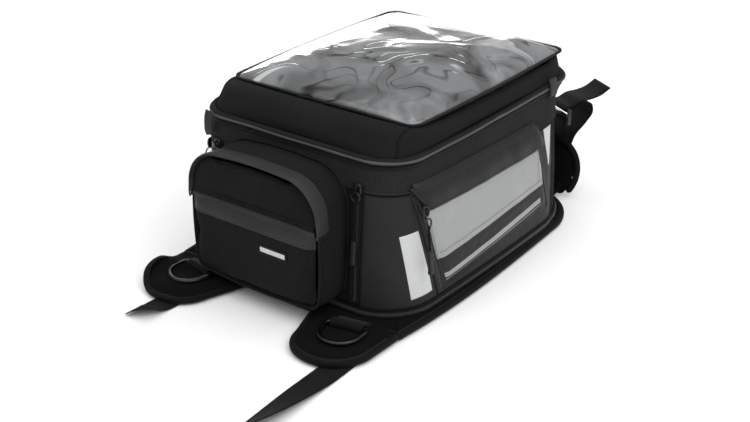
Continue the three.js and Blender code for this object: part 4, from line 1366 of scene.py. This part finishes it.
sweep("pocket_root_cord", upright(root, -wall(root[:, 1])[1] - 2.0), circle(1.5, 7), "cordura", BAG)


# ---- The clear window ----
def window_grid(n, m, half_x, half_y, corner):
    """Even marks and their x, y in a rounded rectangle, n across and m along."""
    A, B = np.meshgrid(np.linspace(-1, 1, n), np.linspace(-1, 1, m))
    X, Y = np.abs(A) * half_x, np.abs(B) * half_y
    dx, dy = np.maximum(X - (half_x - corner), 0), np.maximum(Y - (half_y - corner), 0)
    pull = np.where((dx > 0) & (dy > 0), np.maximum(dx, dy) / (np.hypot(dx, dy) + 1e-9), 1.0)
    X = np.sign(A) * (np.minimum(X, half_x - corner) + dx * pull)
    Y = np.sign(B) * (np.minimum(Y, half_y - corner) + dy * pull)
    return A, B, X * (1 - BOW * (Y / half_y) ** 2), Y + WINDOW["mid_y"]


def crumple(x, y):
    """Soft folds across stiff film: warped waves, sharper on their crests."""
    u = x / 46 + 0.9 * np.sin(y / 61 + 0.4) + 0.5 * np.sin(x / 27 + y / 33)
    v = y / 52 + 0.8 * np.sin(x / 44 + 1.9) + 0.4 * np.sin(y / 25 - x / 39)
    first = np.sin(u * 1.1 + 1.2 * np.sin(v * 0.9))
    second = np.sin(v * 1.4 + 1.1 * np.sin(u * 1.3 + 0.7))
    third = np.sin(u * 2.6 - v * 2.1 + 1.5 * np.sin(u * 1.4 + v))
    ridge = 1 - np.abs(np.sin(u * 0.8 - v * 1.0 + 0.8 * first))
    return 0.7 * first + 0.6 * second + 0.16 * third + 0.5 * ridge ** 2


def rim_outline(proud):
    """The wall's outline at the rim, widened by `proud`."""
    return rounded(*(v + proud for v in wall(RIM_Z)), long=60, short=40, arc=14, bow=BOW)


A, B, X, Y = window_grid(150, 170, WINDOW["half_x"] - 0.6, WINDOW["half_y"] - 0.6, 12)
swell = (np.clip(1 - np.abs(A) ** 2.3, 0, 1) * np.clip(1 - np.abs(B) ** 2.6, 0, 1)) ** 0.62
loose = ease((1 - np.maximum(np.abs(A), np.abs(B))) / 0.2)
Z = WINDOW["z"] + 0.4 + (DOME_TOP - WINDOW["z"] - 3) * swell + 1.35 * crumple(X, Y) * loose
window = surface("window_film", xyz(X, Y, Z), "pvc", LID, thick=0.9)
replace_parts(window, "map_window")
_, _, X, Y = window_grid(40, 46, 132, 168, 30)
map_floor = surface("map_floor", xyz(X, Y - WINDOW["mid_y"] + 2.5, 193.2 + 0.5 * np.sin(X / 17)
                                     * np.sin(Y / 21)), "lining", LID, thick=2.6)
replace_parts(map_floor, "lid_panel")
sweep("window_binding", lifted(window_outline(1.2, 14, long=40, short=34), WINDOW["z"] + 0.9),
      [(-2.0, -0.6), (-1.7, 0.3), (0, 0.7), (1.7, 0.3), (2.0, -0.7), (0, -1.0)], "cordura", LID,
      closed=True, up=(0, 0, 1))
bundle("window_stitching", stitches(
    lifted(window_outline(2.6, 15, long=50, short=44), WINDOW["z"] + 1.75), (0, 0, 1),
    pitch=3.2, length=2.1, radius=0.3), "thread", LID)
pipe = rim_outline(2.7)
run = np.arange(len(pipe))
piping = sweep("lid_piping_cord", lifted(pipe, 184.6 + 0.35 * np.sin(run / 7.0)
                                         + 0.2 * np.sin(run / 2.9)),
               circle(1.75, 10), "piping", LID, closed=True, up=(0, 0, 1),
               scale=1 + 0.05 * np.sin(run / 1.7))
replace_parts(piping, "lid_piping")
surface("lid_flange", [lifted(rim_outline(proud), z) for proud, z in (
    (2.9, 185.9), (1.4, 187.6), (0.2, 187.9), (-2.0, 187.6), (-2.2, 182.0), (0.6, 181.9),
    (2.0, 182.9))], "cordura", LID, wrap=True, thick=0.8)
for (tag, sx, _), inner in zip(SIDES, (0, 0.01)):
    hinge_cloth("lid_hinge_cloth_" + tag, sx * np.linspace(inner, 98, 30), (
        (180.4, 172), (181.6, 176), (182.8, 179), (184.6, 181.4), (185.4, 183.4), (184.0, 187),
        (181.0, 190)), "binding", (0, 150, 180))
for node, across, width, path in (
        ("lid_tab_front", (1, 0, 0), 12, [
            (-114, -185.5, 190), (-114.3, -187.3, 184), (-114.8, -188.1, 174),
            (-114.5, -187.7, 165), (-114.2, -186.7, 162.8), (-114, -185.9, 166)]),
        ("lid_tab_rear", (0, 1, 0), 15, [
            (143.5, 116, 196), (145.2, 116, 190), (146.2, 116, 182), (146.0, 116, 176),
            (145.2, 116, 174.6), (144.5, 116, 177)])):
    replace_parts(sweep(node + "_tape", resample(path, step=2.0), tape_section(width, 1.5, n=5),
                      "trim", LID, up=np.cross(across, (0, 0, 1))), node)


# ---- D-rings, their loops and the front straps ----
WEBBING_WIDTH, WEBBING_THICK, CLEARANCE = 38, 1.6, 0.55
RING_HALF_WIDTH, RING_LENGTH, WIRE = 22.5, 42, 2.4
STRAP_WIDTH, STRAP_START, STRAP_RISE = 30, -215, 15
RING_PLACE = place(*RING_AT, RING_TURN)


def up_of(path, across):
    """The face direction of a tape that runs along a path."""
    return np.cross(np.broadcast_to(across, path.shape), frames_along(path)[0])


def ring_path():
    """The wire's middle line: a straight bar along x, then a half round."""
    half = RING_HALF_WIDTH
    reach = RING_LENGTH - 2 * 2.5 - half
    path = [(1.8 - half, 0, 0), (0, 0, 0), (half - 1.8, 0, 0), (half, -1.8, 0)]
    path += [(half * math.cos(a), -reach - half * math.sin(a), 0) for a in np.linspace(0, PI, 15)]
    return resample(path + [(-half, -1.8, 0)], step=2.2, closed=True)


def sleeve_path():
    """The webbing's middle line: down to the bar, round it and back under itself."""
    r = WIRE + CLEARANCE + WEBBING_THICK / 2
    path = [(0, 21, -4.3), (0, 15, -3.4), (0, 9.5, -0.6), (0, 5.5, 2.3)]
    path += [(0, r * math.cos(a), r * math.sin(a)) for a in np.radians(
        (70, 110, 150, 190, 230, 265))]
    return resample(path + [(0, 5, -r - 0.1), (0, 11, -r - 0.6)], step=1.6)


ring_line = moved(ring_path(), RING_PLACE)
sleeve = moved(sleeve_path(), RING_PLACE)
sleeve_up = up_of(sleeve, RING_PLACE.col[0][:3])
box = [(-15, 8.5, 0.9), (15, 8.5, 0.9), (15, 17, -3.0), (-15, 17, -3.0), (-15, 8.5, 0.9),
       (15, 17, -3.0)]
box_threads = [stitch for a, b in zip(box[:-1], box[1:]) for stitch in stitches(
    moved(np.linspace(a, b, 8) + (0, 0, 1.15), RING_PLACE), (0, 0, 1), pitch=2.8, length=2.0,
    radius=0.32)]
for tag, _, side in SIDES:
    flap = "front_flap_" + tag
    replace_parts(sweep("d_ring_wire_" + tag, side(ring_line), circle(WIRE, 12), "steel",
                      "d_ring_" + tag, closed=True, up=(0, 0, 1)), "d_ring_" + tag)
    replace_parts(sweep("ring_webbing_" + tag, side(sleeve),
                      tape_section(WEBBING_WIDTH, WEBBING_THICK, 0.25), "webbing", flap,
                      up=side(sleeve_up)), "d_ring_webbing_" + tag)
    bundle("ring_stitching_" + tag, box_threads, "thread", flap, side)

for (tag, _, side), (x0, drift, end, most) in zip(SIDES, ((132, 6, -418, 0.68),
                                                          (91, 9, -332, -0.68))):
    t = np.linspace(0, 1, 60)
    flat_until = (FLAP["tip"] - 3 - STRAP_START) / (end - STRAP_START)
    twist = most * np.clip((t - flat_until) / (1 - flat_until), 0, None) ** 1.5
    path = xyz(x0 + drift * t, lerp(STRAP_START, end, t), 0.85 + np.abs(np.sin(twist)) * STRAP_RISE
               + 0.4 * np.sin(t * 13) * t * (t > flat_until))
    across = xyz(np.cos(twist), 0, np.sin(twist))
    piece = sweep("front_strap_tape_" + tag, side(path), tape_section(STRAP_WIDTH, 1.5), "webbing",
                  "front_flap_" + tag, up=side(up_of(path, across)))
    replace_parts(piece, "front_strap_" + tag)
    back = path[-3] - path[-1]
    lift = unit(np.cross(across[-1], -back))
    lift *= np.sign(lift[2])
    ends = [path[-1] + across[-1] * w + back * 0.55 + lift * 0.8 for w in (-13, 13)]
    bundle("strap_end_stitching_" + tag, stitches(
        ends, lift, pitch=2.4, length=1.7, radius=0.3), "thread", "front_flap_" + tag, side)

# ---- Rear straps, tabs and ladder locks, as y, z outlines ----
STRAP_PLACE = place(*STRAP_AT, 0, STRAP_TURN)
STRAP = [(15.5, 69.8), (21, 83), (36, 99), (44.5, 112), (42, 122), (30, 124.6), (20, 120.5),
         (12, 116.6), (7, 116.4), (4, 119), (7, 121.9), (14, 122.4), (26, 127.6), (40, 128.6),
         (54, 131.6), (68, 139.5)]
LOCK_TAB = [(13.4, 69.8), (9, 80), (5.2, 92), (5.2, 102), (6.4, 104.4), (8.5, 105.2),
            (10.6, 104.4), (11.8, 102), (11.8, 97)]


def bar(y0, y1, z0, z1, half=22.0, soft=0.8, at=0.0):
    """A moulded cross bar with rounded edges."""
    loop = rounded((y1 - y0) / 2, (z1 - z0) / 2, soft, (z0 + z1) / 2, arc=3, long=2, short=2,
                   mid_x=(y0 + y1) / 2)
    return rings([xyz(at + x, *loop.T) for x in (-half, 0, half)])


def lock_parts():
    """The lock of a rear strap: two rails, three bars and their ribs."""
    parts = []
    for s in (-1, 1):
        loop = rounded(1.6, 2.5, 0.7, 8.5, arc=3, long=2, short=2, mid_x=s * 21.4)
        parts.append(rings([lifted(inset_loop(loop, i), z) for z, i in (
            (99.8, 0.7), (100.5, 0.1), (110, 0), (119.9, 0.1), (120.6, 0.7))]))
    parts += [bar(7, 10, 99.8, 102.8), bar(7, 10, 117.6, 120.6), bar(6, 11, 107, 111)]
    parts += [bar(5.6, 6.2, z - 0.3, z + 0.3, 19, 0.25) for z in (108.0, 109.2, 110.2)]
    return parts + [bar(10.2, 11.3, 107.6, 110.4, 0.7, 0.3, x) for x in np.linspace(-17, 17, 9)]


def in_place(parts, matrix):
    """Parts carried by a 4 x 4 matrix."""
    return [(moved(p, matrix), f) for p, f, *_ in parts]


lock = in_place(lock_parts(), STRAP_PLACE)
tab_seams = [moved(xyz(np.linspace(-16, 16, 12), y, z), STRAP_PLACE)
             for y, z in ((11.6, 73.5), (10.4, 76.5))]
for tag, _, side in SIDES:
    body = "rear_flap_" + tag
    for name, node, line, crown in (("rear_strap_tape", "rear_strap", STRAP, 0.3),
                                    ("lock_tab_tape", "lock_tab", LOCK_TAB, 0.0)):
        path = moved(resample([(0, y, z) for y, z in line], step=2.0), STRAP_PLACE)
        piece = sweep(f"{name}_{tag}", side(path), tape_section(WEBBING_WIDTH, 1.5, crown),
                      "webbing", body, up=side(up_of(path, STRAP_PLACE.col[0][:3])))
        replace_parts(piece, f"{node}_{tag}")
    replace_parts(bundle("ladder_lock_body_" + tag, lock, "buckle", body, side),
                "ladder_lock_" + tag)
    bundle("tab_stitching_" + tag, [stitch for line in tab_seams for stitch in stitches(
        side(line), (-0.3, -1, 0.2), pitch=2.6, length=1.9, radius=0.35)], "thread", body)


# ---- Sliders and pulls ----
def slider_parts():
    """A slider facing -Y: plate, rounded crown and a bridge for the ring."""
    plate = resample([(-4, -4.5), (-2, -6.5), (2, -6.5), (4, -4.5), (3.2, 6.5), (-3.2, 6.5)],
                     step=1.4, closed=True)
    crown = rings([upright(inset_loop(plate, inset), -y) for inset, y in (
        (0.6, 0.1), (0, 0.6), (0, 1.6), (0.4, 2.2), (1.3, 2.9))])
    bridge = swept([(0, -2.4, 4.4), (0, -4.2, 3.4), (0, -4.9, 0.8), (0, -4.4, -2.0),
                    (0, -2.4, -3.6)], [(-1.1, -0.5), (1.1, -0.5), (1.1, 0.5), (-1.1, 0.5)],
                   up=(1, 0, 0))
    return [crown, bridge]


def pull_parts(cord_length):
    """The ring, the twisted cord and the moulded end of a pull that hangs from the origin."""
    a = np.linspace(0, 2 * PI, 22, endpoint=False)
    ring = swept(xyz(5.3 * np.sin(a), 0, -5.3 + 5.3 * np.cos(a)), circle(0.85, 7), closed=True,
                 up=(0, 1, 0))
    top = -9.6
    low = top - cord_length
    z = np.linspace(top, low, int(cord_length * 1.3))
    sway = 0.5 * np.sin((z - top) / cord_length * PI)
    cord = [swept(xyz(0.75 * np.cos(w) + sway, 0.75 * np.sin(w), z), circle(0.9, 6), up=(0, 1, 0))
            for w in ((z - top) * 0.95, (z - top) * 0.95 + PI)]
    cord.append(rings([lifted(circle(r, 8), top + z) for r, z in (
        (0.6, 1.6), (1.9, 0.6), (2.1, -1.4), (1.2, -2.6))]))
    grip = rings([lifted(rounded(1.2 * w, w * 0.85, min(1.2, w * 0.5), arc=3, long=2, short=2),
                         low + z) for z, w in (
        (1.0, 1.5), (0.4, 2.3), (-2, 2.6), (-3, 2.9), (-3.6, 2.5), (-4.4, 2.5), (-5, 2.9),
        (-5.8, 2.5), (-6.6, 2.5), (-7.2, 2.9), (-9, 2.8), (-14, 2.5), (-19, 2.6), (-23.5, 3.0),
        (-25.4, 2.8), (-26, 1.9))])
    return ("ring", [ring], "steel"), ("cord", cord, "webbing"), ("grip", [grip], "puller")


def put_slider(name, node, matrix, side, body):
    """One zip slider, which stands for its CAD node."""
    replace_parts(bundle(name, in_place(slider_parts(), matrix), "slider", body, side,
                       smooth=False), node)


def put_pull(name, node, matrix, cord_length, side):
    """The pieces of one puller; the last of them stands for its CAD node."""
    for what, parts, material in pull_parts(cord_length):
        piece = bundle(f"{name}_{what}", in_place(parts, matrix), material, node, side)
    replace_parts(piece, node)


# A slider leans by some degrees, and its ring hangs in front of it.
LEAN, LIFT = -5, 4.4
for tag, _, side in SIDES:
    near = [around(u_of_front(ZIP_X[tag] + d, 152.0), 152.0) for d in (-1, 0, 1)]
    facing = math.atan2(near[2][1] - near[0][1], near[2][0] - near[0][0])
    outward = np.array([math.sin(facing), -math.cos(facing), 0])
    turn = math.degrees(facing)
    corner_at = near[1] + outward * 2.6
    side_at = around(u_of_y(-147.0, 130.0), 130.0, 10.2)
    for where, at, ring_at, turned, cord_length in (
            ("corner", corner_at, corner_at + outward * LIFT - (0, 0, 2), turn, 46),
            ("side", side_at, side_at + (LIFT, 0, -7), 90, 28)):
        put_slider(f"{where}_slider_body_{tag}", f"{where}_slider_{tag}",
                   place(*at, turned, LEAN), side, f"{where}_slider_{tag}")
        put_pull(f"{where}_pull_{tag}", f"{where}_puller_{tag}", place(*ring_at, turned, LEAN),
                 cord_length, side)
left = POCKET["mid_x"] - POCKET["half_x"] - 0.4
put_slider("pocket_slider_body", "front_pocket_slider",
           place(left, POCKET["front"] + 12, HINGE_Z - 10, -90), same, BAG)
put_pull("pocket_pull", "front_pocket_puller",
         place(left - LIFT, POCKET["front"] + 12, HINGE_Z - 12, -90), 30, same)

# ---- CAD nodes that stay ----
for node, look in (("base_grip", "grip_rubber"), ("base_board", "board_face")):
    for material_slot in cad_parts[node].material_slots:
        material_slot.material = MATERIALS[look]

# ---- Floor, light and air ----
HALF_FLOOR, FLOOR_Z = 6, -0.0006
floor_mesh = bpy.data.meshes.new("floor")
floor_mesh.from_pydata([(x * HALF_FLOOR, y * HALF_FLOOR, FLOOR_Z) for x, y in (
    (-1, -1), (1, -1), (1, 1), (-1, 1))], [], [(0, 1, 2, 3)])
floor = bpy.data.objects.new("floor", floor_mesh)
scene.collection.objects.link(floor)
paper = bpy.data.materials.new("paper")
paper.use_nodes = True
paper_inputs = paper.node_tree.nodes["Principled BSDF"].inputs
paper_inputs["Base Color"].default_value = (0.93, 0.93, 0.93, 1)
paper_inputs["Roughness"].default_value = 0.9
floor_mesh.materials.append(paper)

world = bpy.data.worlds.new("studio")
world.use_nodes = True
background = world.node_tree.nodes["Background"].inputs
background["Color"].default_value = (1, 1, 1, 1)
background["Strength"].default_value = 0.42
scene.world = world


def lamp(name, azimuth, height, distance, size, power, size_y=None):
    """A soft box; azimuth 0 stands in front, 90 to the right."""
    data = bpy.data.lights.new(name, "AREA")
    data.shape, data.size, data.size_y = "RECTANGLE", size, size_y or size
    data.energy = power
    obj = bpy.data.objects.new(name, data)
    scene.collection.objects.link(obj)
    a, h = math.radians(azimuth), math.radians(height)
    obj.location = (distance * math.sin(a) * math.cos(h), -distance * math.cos(a) * math.cos(h),
                    distance * math.sin(h))
    obj.rotation_euler = (Vector((0, 0, 0.1)) - obj.location).to_track_quat("-Z", "Y").to_euler()


lamp("key", 75, 50, 2.2, 1.0, 8)
lamp("front", -25, 30, 2.4, 1.2, 0.8)
lamp("rear", 222, 9, 2.6, 1.6, 16, 0.6)
overhead = bpy.data.lights.new("overhead", "SUN")
overhead.energy, overhead.angle = 2.3, math.radians(100)
overhead_obj = bpy.data.objects.new("overhead", overhead)
scene.collection.objects.link(overhead_obj)
overhead_obj.rotation_euler = (math.radians(8), math.radians(14), 0)
